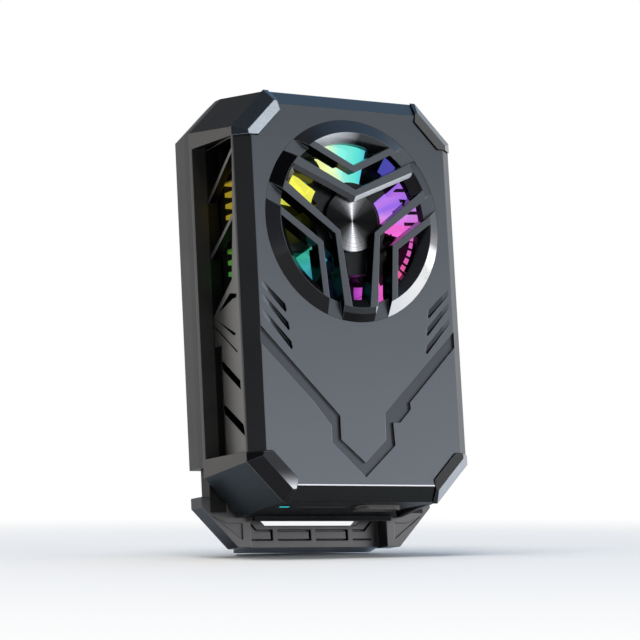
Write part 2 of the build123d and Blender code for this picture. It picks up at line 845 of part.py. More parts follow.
for column in range(pellets_per_side):
    for row in range(pellets_per_side):
        x = (column + 1 / 2) * pellet_pitch - module_half
        z = (row + 1 / 2) * pellet_pitch - module_half
        pellets.append(block(x - pellet_half, x + pellet_half, cold_ceramic, pellet_front,
                             z - pellet_half, z + pellet_half))
shapes["peltier_pellets"] = Compound(children=pellets)
foam_half = flange_half - foam_margin
foam_hole = module_half + foam_gap
foam = block(-foam_half, foam_half, flange_front, hot_ceramic, -foam_half, foam_half)
foam -= block(-foam_hole, foam_hole, flange_front, hot_ceramic, -foam_hole, foam_hole)
shapes["insulation_foam"] = foam

# Heat sink

sink_back = hot_ceramic
fins_back = sink_back + sink_base
fins_front = fins_back + fin_height
heat_sink = block(-sink_half_width, sink_half_width, sink_back, fins_back,
                  sink_bottom, sink_top)
fin_count = math.floor((sink_top - sink_bottom - fin_thickness) / fin_pitch) + 1
for index in range(fin_count):
    z = sink_bottom + index * fin_pitch
    heat_sink += block(-sink_half_width, sink_half_width, fins_back, fins_front,
                       z, z + fin_thickness)
sink_screw_x = sink_half_width - 2 * small_screw_head_radius
sink_screw_z = [sink_top - 2 * small_screw_head_radius, flange_half + small_screw_head_radius]
sink_clear = small_screw_head_radius + running_gap
sink_screws = []
for x_sign in (-1, 1):
    for z in sink_screw_z:
        x = x_sign * sink_screw_x
        heat_sink -= disc(sink_clear, fins_back, fins_front + overrun, x, z)
        heat_sink -= disc(small_screw_radius + seat_gap, sink_back - overrun, fins_front, x, z)
        post = disc(small_screw_head_radius, back_wall_front, sink_back, x, z)
        post -= disc(small_screw_radius, back_wall_front, sink_back, x, z)
        shapes["rear_cover"] += post
        sink_screws.append(disc(small_screw_radius, back_wall_front + seat_gap, fins_back, x, z)
                           + disc(small_screw_head_radius, fins_back,
                                  fins_back + small_screw_head, x, z))
shapes["heat_sink"] = heat_sink
shapes["heat_sink_screws"] = Compound(children=sink_screws)

# Fan

duct_back = plate_back - fan_duct_length
spoke_back = duct_back - spoke_thickness + seat_gap
fan_frame = tube(duct_radius + fan_duct_wall, duct_radius, spoke_back, plate_back, 0, axis_height)
fan_frame += disc(motor_base_radius, spoke_back, duct_back, 0, axis_height)
for index in range(guard_arms):
    spoke = block(motor_base_radius - wall, duct_radius + fan_duct_wall / 2, spoke_back,
                  duct_back, axis_height - spoke_width / 2, axis_height + spoke_width / 2)
    fan_frame += about_axis(spoke, 360 / guard_arms * index + 30)
bearing_front = plate_front - bevel_depth - edge_break - seat_gap
fan_frame += disc(bearing_tube_radius, spoke_back, bearing_front, 0, axis_height)
fan_frame -= disc(bearing_radius, spoke_back + running_gap, bearing_front + overrun,
                  0, axis_height)
ear_angles = [45, 135, 225, 315]
fan_screws = []
ear_front = plate_back
ear_back = plate_back - 2 * fan_screw_head
for angle in ear_angles:
    x = ear_circle * math.cos(math.radians(angle))
    z = axis_height + ear_circle * math.sin(math.radians(angle))
    ear = disc(ear_radius, ear_back, ear_front, x, z)
    bridge = block(duct_radius + fan_duct_wall / 2, ear_circle, ear_back, ear_front,
                   axis_height - ear_radius, axis_height + ear_radius)
    fan_frame += ear
    fan_frame += about_axis(bridge, angle)
    fan_frame -= disc(fan_screw_radius, ear_back - overrun, ear_front + overrun, x, z)
    shapes["front_cover"] -= disc(fan_screw_radius, plate_back - overrun,
                                  plate_back + plate_thickness / 2, x, z)
    fan_screws.append(disc(fan_screw_head_radius, ear_back - fan_screw_head, ear_back, x, z)
                      + disc(fan_screw_radius, ear_back, plate_back + plate_thickness / 2, x, z))
fan_frame -= disc(duct_radius, duct_back, plate_back + overrun, 0, axis_height) - disc(
    bearing_tube_radius, duct_back, plate_back + overrun, 0, axis_height)
shapes["fan_frame"] = fan_frame
shapes["fan_screws"] = Compound(children=fan_screws)
bearing = disc(bearing_radius, spoke_back + running_gap, bearing_front - seat_gap, 0, axis_height)
bearing -= disc(shaft_radius + shaft_clearance, spoke_back, bearing_front + overrun,
                0, axis_height)
shapes["fan_bearing"] = bearing

hub_front = plate_front - cap_dome - cap_thickness - seat_gap * 2
hub_back = duct_back + running_gap + fan_board_thickness
board_front = duct_back + fan_board_thickness
fan_board = tube(motor_base_radius - wall, bearing_tube_radius + seat_gap, duct_back,
                 board_front, 0, axis_height)
shapes["fan_board"] = fan_board
hub_inner = hub_radius - hub_wall
hub_ceiling = hub_front - hub_face
yoke_inner = hub_inner - yoke_wall
magnet_inner = yoke_inner - magnet_wall
stator_radius = magnet_inner - air_gap
stator_back = board_front + seat_gap
stator_front = stator_back + stator_height
core_inner = bearing_tube_radius
core_ring = bearing_tube_radius + pole_width / 2
stator = tube(core_ring, core_inner, stator_back, stator_front, 0, axis_height)
windings = []
pole_half = pole_width / 2
coil_low = stator_back + winding_wall
coil_high = stator_front - winding_wall
coil_start = core_ring + seat_gap
coil_end = stator_radius - 2 * winding_wall
for index in range(stator_poles):
    angle = 360 / stator_poles * index
    pole = block(core_inner + seat_gap, stator_radius - winding_wall, coil_low, coil_high,
                 axis_height - pole_half, axis_height + pole_half)
    shoe = tube(stator_radius, stator_radius - winding_wall, coil_low, coil_high, 0, axis_height)
    shoe &= block(0, stator_radius, stator_back, stator_front, axis_height - pole_width,
                  axis_height + pole_width)
    stator += about_axis(pole, angle)
    stator += about_axis(shoe, angle)
    coil = block(coil_start, coil_end, stator_back, stator_front,
                 axis_height - pole_half - winding_wall, axis_height + pole_half + winding_wall)
    coil -= block(coil_start - overrun, coil_end + overrun, coil_low, coil_high,
                  axis_height - pole_half, axis_height + pole_half)
    windings.append(about_axis(coil, angle))
coil_set = windings[0]
for coil in windings[1:]:
    coil_set += coil
coil_set -= disc(core_ring + seat_gap, stator_back, stator_front, 0, axis_height)
shapes["stator_core"] = stator
shapes["stator_windings"] = coil_set

rotor = disc(hub_radius, hub_back, hub_front, 0, axis_height)
rotor -= disc(hub_inner, hub_back, hub_ceiling, 0, axis_height)
boss_back = bearing_front + running_gap
rotor += disc(bearing_tube_radius, boss_back, hub_ceiling, 0, axis_height)
blade_low = duct_back + running_gap
tip_radius = duct_radius - blade_tip_gap
for index in range(blade_count):
    middle = (blade_low + hub_front) / 2
    size = (tip_radius * 2, blade_thickness, blade_height * 2)
    plank = Box(*size, align=(Align.MIN, Align.CENTER, Align.CENTER))
    plank = Pos(0, -middle, axis_height) * Rot(blade_pitch_deg, 0, 0) * plank
    blade = plank & tube(tip_radius, hub_radius - hub_wall / 2, blade_low,
                         guard_back - running_gap, 0, axis_height)
    rotor += about_axis(blade, 360 / blade_count * index + 13)
for angle in (36, 141, 276):
    lug = block(cap_radius - wall, hub_lug_radius, hub_front - hub_lug_height, hub_front,
                axis_height - hub_lug_width / 2, axis_height + hub_lug_width / 2)
    lug -= disc(hub_radius - hub_wall / 2, guard_back - overrun * 2, hub_front + overrun,
                0, axis_height)
    rotor += about_axis(lug, angle)
rotor -= disc(shaft_radius, boss_back - overrun, hub_ceiling + hub_face / 2, 0, axis_height)
shapes["fan_rotor"] = rotor
yoke_back = hub_back + hub_wall
shapes["rotor_yoke"] = tube(hub_inner, yoke_inner, yoke_back, hub_ceiling, 0, axis_height)
shapes["rotor_magnet"] = tube(yoke_inner, magnet_inner, yoke_back, hub_ceiling - hub_wall,
                              0, axis_height)
shapes["fan_shaft"] = disc(shaft_radius, duct_back, hub_ceiling + hub_face / 2, 0, axis_height)
cap_front = hub_front + cap_thickness
cap_section = Polygon((0, -hub_front), (cap_radius, -hub_front), (cap_radius, -cap_front + cap_dome),
                      (cap_radius - cap_dome, -cap_front), (0, -cap_front), align=None)
shapes["hub_cap"] = Pos(0, 0, axis_height) * revolve(cap_section, Axis.Y)

# Lights

light_outer = duct_radius - seat_gap
light_inner = light_outer - light_ring_width
light_ring = tube(light_outer, light_inner, spoke_back, duct_back, 0, axis_height)
for index in range(guard_arms):
    notch = block(motor_base_radius, duct_radius, spoke_back - overrun, duct_back + overrun,
                  axis_height - spoke_width / 2 - seat_gap, axis_height + spoke_width / 2 + seat_gap)
    light_ring -= about_axis(notch, 360 / guard_arms * index + 30)
chips = []
chip_radius = (light_outer + light_inner) / 2
for index in range(light_chips):
    half = light_chip_width / 2
    chip = block(chip_radius - half, chip_radius + half, spoke_back, spoke_back + light_chip_depth,
                 axis_height - half, axis_height + half)
    chip = about_axis(chip, 360 / light_chips * (index + 1 / 2))
    light_ring -= chip
    chips.append(chip)
shapes["light_ring"] = light_ring
shapes["light_chips"] = Compound(children=chips)
shapes["light_board"] = tube(light_inner + light_board_width, light_inner,
                             spoke_back - light_board_thickness, spoke_back, 0, axis_height)

# Control board and charging socket

board_back = post_top
board_face = board_back + board_thickness
control_board = block(-board_half_width, board_half_width, board_back, board_face,
                      board_low, board_top)
board_screws = []
for x_sign in (-1, 1):
    x = x_sign * board_post_x
    control_board -= disc(small_screw_radius + seat_gap, board_back - overrun,
                          board_face + overrun, x, board_post_z)
    board_screws.append(disc(small_screw_head_radius, board_face,
                             board_face + small_screw_head, x, board_post_z)
                        + disc(small_screw_radius, board_back - 2 * small_screw_head,
                               board_face, x, board_post_z))
shapes["control_board"] = control_board
shapes["board_screws"] = Compound(children=board_screws)
board_chips = []
for x_share, side_share, height_share in chip_shares:
    x = x_share * board_half_width
    side = side_share * board_half_width
    height = height_share * board_half_width
    board_chips.append(block(x - side / 2, x + side / 2, board_face, board_face + height,
                             board_chip_height - side / 2, board_chip_height + side / 2))
pipe_top = frame_bottom + light_pipe_length
board_chips.append(block(light_pipe_x - pipe_half_width / 2, light_pipe_x + pipe_half_width / 2,
                         board_face, socket_front_of + pipe_half_height,
                         pipe_top + seat_gap, pipe_top + seat_gap + pipe_half_width))
shapes["board_chips"] = Compound(children=board_chips)
socket_mouth = collar_bottom + socket_mouth_gap
socket_top = socket_mouth + socket_length
shell = stadium_along_z(socket_width, socket_height, socket_mouth, socket_top,
                        socket_x, socket_front_of)
shell -= stadium_along_z(socket_width - 2 * socket_wall, socket_height - 2 * socket_wall,
                         socket_mouth, socket_top - socket_wall, socket_x, socket_front_of)
shapes["usb_shell"] = shell
tongue_half = tongue_width / 2
shapes["usb_tongue"] = block(socket_x - tongue_half, socket_x + tongue_half,
                             socket_front_of - tongue_thickness / 2,
                             socket_front_of + tongue_thickness / 2,
                             socket_mouth + tongue_setback, socket_top - socket_wall)
indicator = block(light_pipe_x - pipe_half_width, light_pipe_x + pipe_half_width,
                  socket_front_of - pipe_half_height, socket_front_of + pipe_half_height,
                  frame_bottom, pipe_top)
shapes["indicator_light"] = indicator

# Case screws

case_screws = []
for x_sign in (-1, 1):
    for z_sign in (-1, 1):
        case_screws.append(screw(case_screw_radius, case_screw_head_radius,
                                 web_thickness * 3 / 4, rear_front - web_thickness / 2,
                                 web_front + 2 * case_screw_head, x_sign * spacer_x,
                                 z_sign * spacer_z))
shapes["case_screws"] = Compound(children=case_screws)
back_screws = []
for x_sign in (-1, 1):
    for z in (back_screw_high, back_screw_low):
        back_screws.append(screw(case_screw_radius, case_screw_head_radius, case_screw_head,
                                 rear_back + seat_gap, boss_front - web_thickness - seat_gap,
                                 x_sign * back_screw_x, z))
shapes["back_screws"] = Compound(children=back_screws)

# Clamp jaw

def jaw_outline():
    """Plan of the jaw's front layer, without its middle window."""
    inner_top = leg_inner - wall
    drop = inner_top - jaw_recess_half_width
    points = [(jaw_half_width, jaw_top), (jaw_half_width, jaw_shoulder),
              (jaw_foot_half_width, jaw_bottom), (jaw_recess_half_width, jaw_bottom),
              (jaw_recess_half_width, jaw_top - drop), (inner_top, jaw_top)]
    return Polygon(*points, align=None)


leg_middle = (leg_outer + leg_inner) / 2
leg_pocket_bottom = jaw_shoulder - leg_rib
triangle_inner_x = jaw_recess_half_width + triangle_margin
panel_bottom = jaw_bottom + panel_foot
slot_top = jaw_top - panel_below_jaw
slot_bottom = slot_top - slot_depth
cell_top = slot_bottom - cell_below_slot
cell_bottom = cell_top - cell_height
cell_reach = jaw_recess_half_width - cell_side_room
lip_end_bottom = jaw_bottom + lip_end_rise
lip_top = jaw_bottom + lip_top_rise
jaw = slab(jaw_outline(), jaw_back, jaw_front)
pocket = block(leg_inner, leg_outer, leg_back, leg_front, leg_pocket_bottom, jaw_top)
jaw -= pocket
triangle = Polygon(
    (triangle_inner_x, jaw_bottom + leg_rib * 3 / 2),
    (triangle_inner_x, jaw_bottom + leg_width + triangle_inset / 2),
    (leg_inner, jaw_bottom + leg_width + triangle_inset / 2),
    (jaw_half_width - triangle_inset, jaw_shoulder - leg_rib * 3 / 2), align=None)
jaw -= slab(triangle, jaw_front - triangle_depth, jaw_front + overrun)
jaw_piece = jaw + mirror(jaw, Plane.YZ)
panel_edge = jaw_recess_half_width + panel_overlap
panel = block(-panel_edge, panel_edge, panel_back, panel_front, panel_bottom, slot_top)
notch_rise = slot_top - slot_bottom
notch_top = slot_half_width + notch_rise + overrun
notch = Polygon((-slot_half_width, slot_bottom), (slot_half_width, slot_bottom),
                (notch_top, slot_top + overrun), (-notch_top, slot_top + overrun), align=None)
panel -= slab(notch, panel_back - overrun, panel_front + overrun)
diagonal_x = diagonal_share * cell_reach
for left_share, right_share in zip(cell_edge_shares[:-1], cell_edge_shares[1:]):
    low = left_share * cell_reach + cell_gap / 2
    high = right_share * cell_reach - cell_gap / 2
    grooves = block_face(low, high, cell_bottom, cell_bottom + cell_line_low)
    grooves += block_face(max(low, -diagonal_x), min(high, diagonal_x),
                          cell_top - cell_line_top, cell_top)
    if right_share != cell_edge_shares[-1]:
        grooves += block_face(high - cell_line_side, high, cell_bottom, cell_top)
    panel -= slab(grooves, panel_front - cell_depth, panel_front + overrun)
for x_sign in (-1, 1):
    low_end = x_sign * diagonal_x
    high_end = x_sign * (diagonal_x + diagonal_rise + cell_line_top)
    diagonal_width = x_sign * cell_line_top * math.sqrt(2)
    diagonal = Polygon((low_end - diagonal_width, cell_top - cell_line_top),
                       (low_end, cell_top - cell_line_top),
                       (high_end, cell_top + diagonal_rise),
                       (high_end - diagonal_width, cell_top + diagonal_rise), align=None)
    panel -= slab(diagonal, panel_front - cell_depth, panel_front + overrun)
jaw_piece += panel
lip_root = -lip_drop_reach
lip_end_half_width = jaw_recess_half_width - lip_narrowing
lip_side = Polygon(
    (-panel_front, panel_bottom), (-lip_root, panel_bottom - lip_drop),
    (lip_reach, lip_end_bottom), (lip_reach, lip_top + catch_height),
    (lip_reach - catch_thickness, lip_top + catch_height),
    (lip_reach - catch_thickness, lip_top), (-panel_back - wall / 2, lip_top), align=None)
lip_solid = extrude(Plane.YZ * lip_side, rear_half_width, both=True)
lip_plan = Polygon(
    (-jaw_recess_half_width, -panel_front), (jaw_recess_half_width, -panel_front),
    (jaw_recess_half_width, -lip_root), (lip_end_half_width, lip_reach),
    (-lip_end_half_width, lip_reach), (-jaw_recess_half_width, -lip_root), align=None)
lip_column = extrude(Pos(0, 0, -body_height) * lip_plan, body_height, dir=(0, 0, 1))
jaw_piece += lip_solid & lip_column
grip_inner = lip_reach - catch_thickness
shapes["lower_jaw"] = jaw_piece
shapes["jaw_pad"] = block(-grip_half_width, grip_half_width, grip_edge - grip_inner, -grip_edge,
                          lip_top, lip_top + grip_thickness)
tab_low = leg_top - stop_tab_height
for x_sign, name in ((-1, "left"), (1, "right")):
    low = min(x_sign * leg_inner, x_sign * leg_outer)
    high = max(x_sign * leg_inner, x_sign * leg_outer)
    leg = block(low, high, leg_back, leg_front, leg_pocket_bottom, leg_top)
    tab_x = x_sign * (leg_inner - stop_tab + slide_gap / 2)
    leg += block(min(tab_x, x_sign * leg_inner), max(tab_x, x_sign * leg_inner), leg_back,
                 leg_back + stop_tab_depth, tab_low, leg_top)
    hole_z = (leg_pocket_bottom + jaw_top) / 2
    leg -= disc(small_screw_radius, leg_back - overrun, leg_back + case_screw_head * 2,
                x_sign * leg_middle, hole_z)
    shapes["jaw_rail_" + name] = leg
jaw_screws = []
for x_sign in (-1, 1):
    hole_z = (leg_pocket_bottom + jaw_top) / 2
    shapes["lower_jaw"] -= disc(small_screw_radius + seat_gap, jaw_back - overrun, leg_back,
                                x_sign * leg_middle, hole_z)
    jaw_screws.append(disc(small_screw_radius, jaw_back, leg_back + case_screw_head * 2,
                           x_sign * leg_middle, hole_z)
                      + disc(small_screw_head_radius, jaw_back - small_screw_head, jaw_back,
                             x_sign * leg_middle, hole_z))
shapes["jaw_screws"] = Compound(children=jaw_screws)

# Springs of the clamp

spring_low = leg_top
spring_length = spring_top - spring_low
spring_middle = (leg_back + leg_front) / 2
coil_radius = spring_radius - spring_wire
for x_sign, name in ((-1, "left"), (1, "right")):
    path = Helix(spring_length / spring_turns, spring_length - 2 * spring_wire, coil_radius)
    start = path @ 0
    section = Plane(origin=start, z_dir=path % 0) * Circle(spring_wire)
    coil = sweep(section, path, is_frenet=True)
    centre = (x_sign * leg_middle, -spring_middle, spring_low + spring_wire)
    shapes["clamp_spring_" + name] = Pos(*centre) * coil

# Fixed hook

hook_back = rear_back - hook_base_thickness
hook_side = Polygon(
    (-rear_back, hook_base_top), (-hook_back, hook_base_top), (-hook_back, hook_under + hook_thickness),
    (lip_reach, hook_under + hook_thickness), (lip_reach, hook_under - catch_height),
    (lip_reach - catch_thickness, hook_under - catch_height),
    (lip_reach - catch_thickness, hook_under), (-rear_back, hook_under), align=None)
upper_hook = extrude(Plane.YZ * hook_side, hook_half_width, both=True)
hook_screws = []
for x_sign in (-1, 1):
    x = x_sign * hook_screw_x
    upper_hook -= disc(small_screw_radius, hook_back + running_gap, rear_back + overrun,
                       x, hook_screw_z)
    hook_screws.append(disc(small_screw_radius, hook_back + running_gap, back_wall_front,
                            x, hook_screw_z)
                       + disc(small_screw_head_radius, back_wall_front,
                              back_wall_front + small_screw_head, x, hook_screw_z))
shapes["upper_hook"] = upper_hook
shapes["hook_screws"] = Compound(children=hook_screws)
shapes["hook_pad"] = block(-grip_half_width, grip_half_width, grip_edge - grip_inner, -grip_edge,
                           hook_under - grip_thickness, hook_under)

for name, shape in shapes.items():
    export_step(shape, "parts/" + name + ".step")
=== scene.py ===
"""Looks of a clip-on phone cooling fan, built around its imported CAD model.

Units are metres in the model's own frame: X across the body, Y out of the cold face, Z up.
"""

import json
import logging
import math
from dataclasses import dataclass
from enum import Enum
from functools import cache

import bpy
from mathutils import Matrix, Vector

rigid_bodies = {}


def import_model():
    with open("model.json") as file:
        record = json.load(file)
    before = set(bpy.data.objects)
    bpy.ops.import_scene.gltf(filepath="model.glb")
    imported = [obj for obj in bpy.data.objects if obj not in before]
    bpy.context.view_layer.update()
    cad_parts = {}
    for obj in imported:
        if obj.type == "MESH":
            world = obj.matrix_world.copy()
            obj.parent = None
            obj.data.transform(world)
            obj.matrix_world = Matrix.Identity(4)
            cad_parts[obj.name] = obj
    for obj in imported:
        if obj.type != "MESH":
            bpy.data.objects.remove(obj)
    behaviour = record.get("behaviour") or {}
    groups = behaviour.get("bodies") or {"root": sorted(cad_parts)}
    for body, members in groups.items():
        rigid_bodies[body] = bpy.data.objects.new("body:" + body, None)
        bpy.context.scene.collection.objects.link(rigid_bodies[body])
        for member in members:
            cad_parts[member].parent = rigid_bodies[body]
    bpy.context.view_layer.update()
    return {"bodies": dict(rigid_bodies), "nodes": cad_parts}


LOG = logging.getLogger("cooler")
MM = 0.001
TURN_DEG = 360.0
FAN_AXIS_Z = 14.5 * MM
RING_SEAM = (19.2 * MM, 20.1 * MM)

Color = tuple[float, float, float]
Way = tuple[float, float, float]
Stops = tuple[tuple[float, Color | float], ...]
Nodes = dict[str, bpy.types.Object]
Socket = bpy.types.NodeSocket
BLACK: Color = (0.0, 0.0, 0.0)
WHITE: Color = (1.0, 1.0, 1.0)


class Surface(Enum):
    """Kinds of surface relief: the pattern's scale and the depth of its bumps."""

    FINE_LACQUER = (5200.0, 0.004 * MM)
    COARSE_PLASTIC = (3400.0, 0.010 * MM)
    RUBBER = (2600.0, 0.014 * MM)
    BARE_METAL = (4200.0, 0.003 * MM)


@dataclass(frozen=True)
class Wear:
    """Variation and rubbed edges that every lacquered surface shares.

    Args:
        mottle: Share of slow colour variation.
        mottle_scale: Scale of that variation.
        slow_rough: Swing of the roughness with it.
        fine_rough: Swing of the roughness with the fine relief.
        bump: Strength of the fine relief.
        edge_width: Width of a rubbed or rounded edge.
        edge_gain: How fast a bend in the surface becomes a rubbed edge.
        edge_samples: Samples that round an edge.
        scratch_scale: Scale of the breaks in a rubbed edge.
        scratch: Gain and offset of those breaks.
    """

    mottle: float = 0.10
    mottle_scale: float = 62.0
    slow_rough: float = 0.18
    fine_rough: float = 0.10
    bump: float = 0.5
    edge_width: float = 0.22 * MM
    edge_gain: float = 9.0
    edge_samples: int = 10
    scratch_scale: float = 380.0
    scratch: tuple[float, float] = (1.1, 0.3)


@dataclass(frozen=True)
class FanLight:
    """Coloured light behind the grille, painted as emission in sectors round the hub.

    Angles are in degrees from +X towards +Z. A level or a radius holds up to the next angle.

    Args:
        depth: Place along Y where the sectors have the places given here.
        slant: Shift across and up for each unit of depth behind that.
        span: Radius that holds the whole light.
        wall_radius: Radius beyond which nothing is lit, whatever the slant.
        ribbed_deg: Middle and half width of the sector that dark ribs cross.
        rib_pitch: Height from rib to rib.
        rib_share: Share of that height that a rib takes.
        rib_radius: Radius beyond which the ribs show.
        arc_deg: Angle from which an outer arc of light chips shows, up to a full turn.
        arc_radius: Inner radius of that arc.
        arc_level: Level of its chips.
        arc_chips: Chips that a full turn would hold.
        chip_gap: Share of a chip's pitch that is dark.
        colors: Angle and colour, blended from one to the next.
        levels: Angle and level.
        inner: Angle and inner radius.
    """

    depth: float = -23.6 * MM
    slant: tuple[float, float] = (0.641, 0.188)
    span: float = 20.0 * MM
    wall_radius: float = 17.0 * MM
    ribbed_deg: tuple[float, float] = (8.0, 26.0)
    rib_pitch: float = 2.2 * MM
    rib_share: float = 0.30
    rib_radius: float = 12.2 * MM
    arc_deg: float = 292.0
    arc_radius: float = 13.6 * MM
    arc_level: float = 0.95
    arc_chips: float = 52.0
    chip_gap: float = 0.3
    colors: Stops = (
        (0.0, (0.84, 0.18, 0.86)), (9.0, (0.74, 0.30, 0.92)), (20.0, (0.34, 0.16, 0.92)),
        (30.0, (0.56, 0.20, 0.90)), (44.0, (0.20, 0.14, 0.95)), (60.0, (0.12, 0.16, 0.90)),
        (81.0, (0.12, 0.86, 0.74)), (98.0, (0.26, 0.92, 0.80)), (108.0, (0.72, 0.94, 0.56)),
        (122.0, (0.88, 0.90, 0.30)), (148.0, (0.94, 0.92, 0.10)), (165.0, (0.88, 0.90, 0.10)),
        (178.0, (0.36, 0.46, 0.04)), (208.0, (0.04, 0.44, 0.26)), (222.0, (0.05, 0.42, 0.46)),
        (240.0, (0.04, 0.12, 0.44)), (262.0, (0.10, 0.03, 0.20)), (276.0, (0.62, 0.08, 0.62)),
        (290.0, (0.95, 0.14, 0.72)), (315.0, (0.95, 0.12, 0.36)), (340.0, (0.94, 0.16, 0.70)),
    )
    levels: Stops = (
        (0.0, 1.0), (36.0, 0.0), (46.0, 0.55), (57.0, 0.0), (74.0, 1.0), (122.0, 0.0),
        (145.0, 1.0), (170.0, 0.01), (209.0, 0.85), (231.0, 0.03), (268.0, 0.85),
        (295.0, 0.02), (347.0, 1.0),
    )
    inner: Stops = (
        (0.0, 6.4 * MM), (36.0, 12.4 * MM), (74.0, 7.6 * MM), (130.0, 9.6 * MM),
        (190.0, 9.8 * MM), (240.0, 12.8 * MM), (295.0, 12.0 * MM), (347.0, 6.4 * MM),
    )


WEAR = Wear()
LIGHT = FanLight()


@dataclass(frozen=True)
class Facet:
    """Painted light or shade on the faces that point about one way.

    Args:
        way: Direction that the faces point, in the model's frame.
        color: Their painted tone, linear RGB.
        reach_deg: How far a face may turn from that direction.
        gain: How sharply the tone ends; low values fade out.
    """

    way: Way
    color: Color
    reach_deg: float = 14.0
    gain: float = 60.0


@dataclass(frozen=True)
class Finish:
    """One solid finish.

    Args:
        name: Material name.
        color: Base colour, linear RGB.
        roughness: Mean roughness.
        metallic: Metal share.
        specular: Specular level of the clear part.
        relief: Kind of fine relief.
        edge: Colour of the rubbed edges, linear RGB.
        edge_share: How strongly the rubbed edges show.
        facets: Faces with painted light or shade of their own.
    """

    name: str
    color: Color
    roughness: float = 0.45
    metallic: float = 0.0
    specular: float = 0.4
    relief: Surface = Surface.FINE_LACQUER
    edge: Color = (0.30, 0.31, 0.33)
    edge_share: float = 0.35
    facets: tuple[Facet, ...] = ()


# Painted shade on the cover's bevels, darkest on the bottom bevel.
COVER = Finish("cover_grey", (0.076, 0.083, 0.091), 0.34, 0.85, 0.4, edge_share=0.30,
               facets=(Facet((-0.64, -0.77, 0.0), (0.058, 0.057, 0.057), 12.0),
                       Facet((0.64, -0.77, 0.0), (0.064, 0.066, 0.069), 12.0),
                       Facet((0.0, -0.77, 0.64), (0.064, 0.070, 0.076), 12.0),
                       Facet((0.0, -0.77, -0.64), (0.020, 0.022, 0.023), 12.0)))
# The corner guards are one part; their different tones are painted light and shade. Top left:
# painted highlight on the narrow facet.
GUARD_TOP_LEFT = Finish("guard_top_left", (0.085, 0.100, 0.118), 0.20, 0.90, 0.5,
                        edge_share=0.45,
                        facets=(Facet((-0.13, -0.98, 0.13), (0.22, 0.245, 0.265), 10.0),))
# Top right: painted shade on the base, painted light on the narrow facet and a painted highlight
# on the right facet.
GUARD_TOP_RIGHT = Finish("guard_top_right", (0.014, 0.014, 0.015), 0.24, 0.88, 0.5,
                         edge_share=0.15,
                         facets=(Facet((0.13, -0.98, 0.13), (0.080, 0.078, 0.076), 10.0),
                                 Facet((0.64, -0.77, 0.0), (0.21, 0.21, 0.22), 14.0)))
# Bottom left: painted shade on the base.
GUARD_LOW_LEFT = Finish("guard_bottom_left", (0.012, 0.012, 0.014), 0.22, 0.80, 0.5,
                        edge_share=0.35, edge=(0.40, 0.42, 0.45))
# Bottom right: painted shade on the base and bottom facet, painted highlights on the corner and
# side facets.
GUARD_LOW_RIGHT = Finish("guard_bottom_right", (0.045, 0.046, 0.047), 0.22, 0.90, 0.5,
                         edge_share=0.15,
                         facets=(Facet((0.13, -0.98, -0.13), (0.048, 0.048, 0.049), 10.0),
                                 Facet((0.48, -0.73, -0.48), (0.54, 0.57, 0.61), 14.0),
                                 Facet((0.68, -0.73, 0.0), (0.26, 0.27, 0.29), 14.0),
                                 Facet((0.0, -0.73, -0.68), (0.030, 0.031, 0.033), 14.0)))
GUARD_BAR = Finish("guard_bar", (0.084, 0.091, 0.100), 0.34, 0.85, 0.4, edge_share=0.30)
# Painted shade on the frame's underside and upper chamfer, painted shade with a bluish painted
# reflection on its lower chamfer.
FRAME = Finish("frame_grey", (0.110, 0.104, 0.098), 0.40, 0.80, 0.35, edge_share=0.30, facets=(
    Facet((0.0, 0.0, -1.0), (0.020, 0.023, 0.025), 20.0),
    Facet((-0.7, 0.0, -0.7), (0.036, 0.048, 0.060), 20.0),
    Facet((-0.7, 0.0, 0.7), (0.034, 0.034, 0.034), 20.0)))
VENT = Finish("vent_grey", (0.150, 0.145, 0.136), 0.36, 0.80, 0.4, edge_share=0.4)
REAR = Finish("rear_grey", (0.075, 0.075, 0.077), 0.46, 0.70, 0.3,
              relief=Surface.COARSE_PLASTIC)
# Painted shade on the jaw's left end, a pale bluish painted reflection on its underside, painted
# shade with a bluish painted reflection on its lower chamfer.
JAW = Finish("jaw_grey", (0.168, 0.162, 0.158), 0.36, 0.80, 0.4, facets=(
    Facet((-1.0, 0.0, 0.0), (0.070, 0.072, 0.074), 18.0),
    Facet((0.0, 0.0, -1.0), (0.42, 0.50, 0.60), 25.0),
    Facet((-0.7, 0.0, -0.7), (0.032, 0.042, 0.058), 22.0)))
# Painted shade on the rails, which lie in shadow under the body.
RAIL = Finish("rail_grey", (0.026, 0.025, 0.024), 0.44, 0.60, 0.35)
FAN_BLACK = Finish("fan_black", (0.006, 0.006, 0.007), 0.5, 0.0, 0.25,
                   relief=Surface.COARSE_PLASTIC, edge_share=0.0)
BLADE = Finish("blade_gloss", (0.004, 0.004, 0.005), 0.30, 0.0, 0.25, edge_share=0.0)
BARE = Finish("bare_aluminium", (0.55, 0.56, 0.57), 0.35, 1.0, 0.5,
              relief=Surface.BARE_METAL, edge_share=0.0)
STEEL = Finish("screw_steel", (0.32, 0.33, 0.34), 0.32, 1.0, 0.5,
               relief=Surface.BARE_METAL, edge_share=0.0)
PAD = Finish("pad_grey", (0.16, 0.165, 0.17), 0.75, 0.0, 0.25,
             relief=Surface.RUBBER, edge_share=0.0)
GRIP = Finish("grip_rubber", (0.014, 0.014, 0.015), 0.75, 0.0, 0.25,
              relief=Surface.RUBBER, edge_share=0.0)
FOAM = Finish("foam_black", (0.010, 0.010, 0.010), 0.9, 0.0, 0.1,
              relief=Surface.RUBBER, edge_share=0.0)
CERAMIC = Finish("ceramic_white", (0.72, 0.72, 0.69), 0.6, 0.0, 0.3, edge_share=0.0)
PELLET = Finish("pellet_metal", (0.12, 0.12, 0.125), 0.5, 0.8, 0.4, edge_share=0.0)
BRASS = Finish("bearing_brass", (0.45, 0.30, 0.12), 0.35, 1.0, 0.5,
               relief=Surface.BARE_METAL, edge_share=0.0)
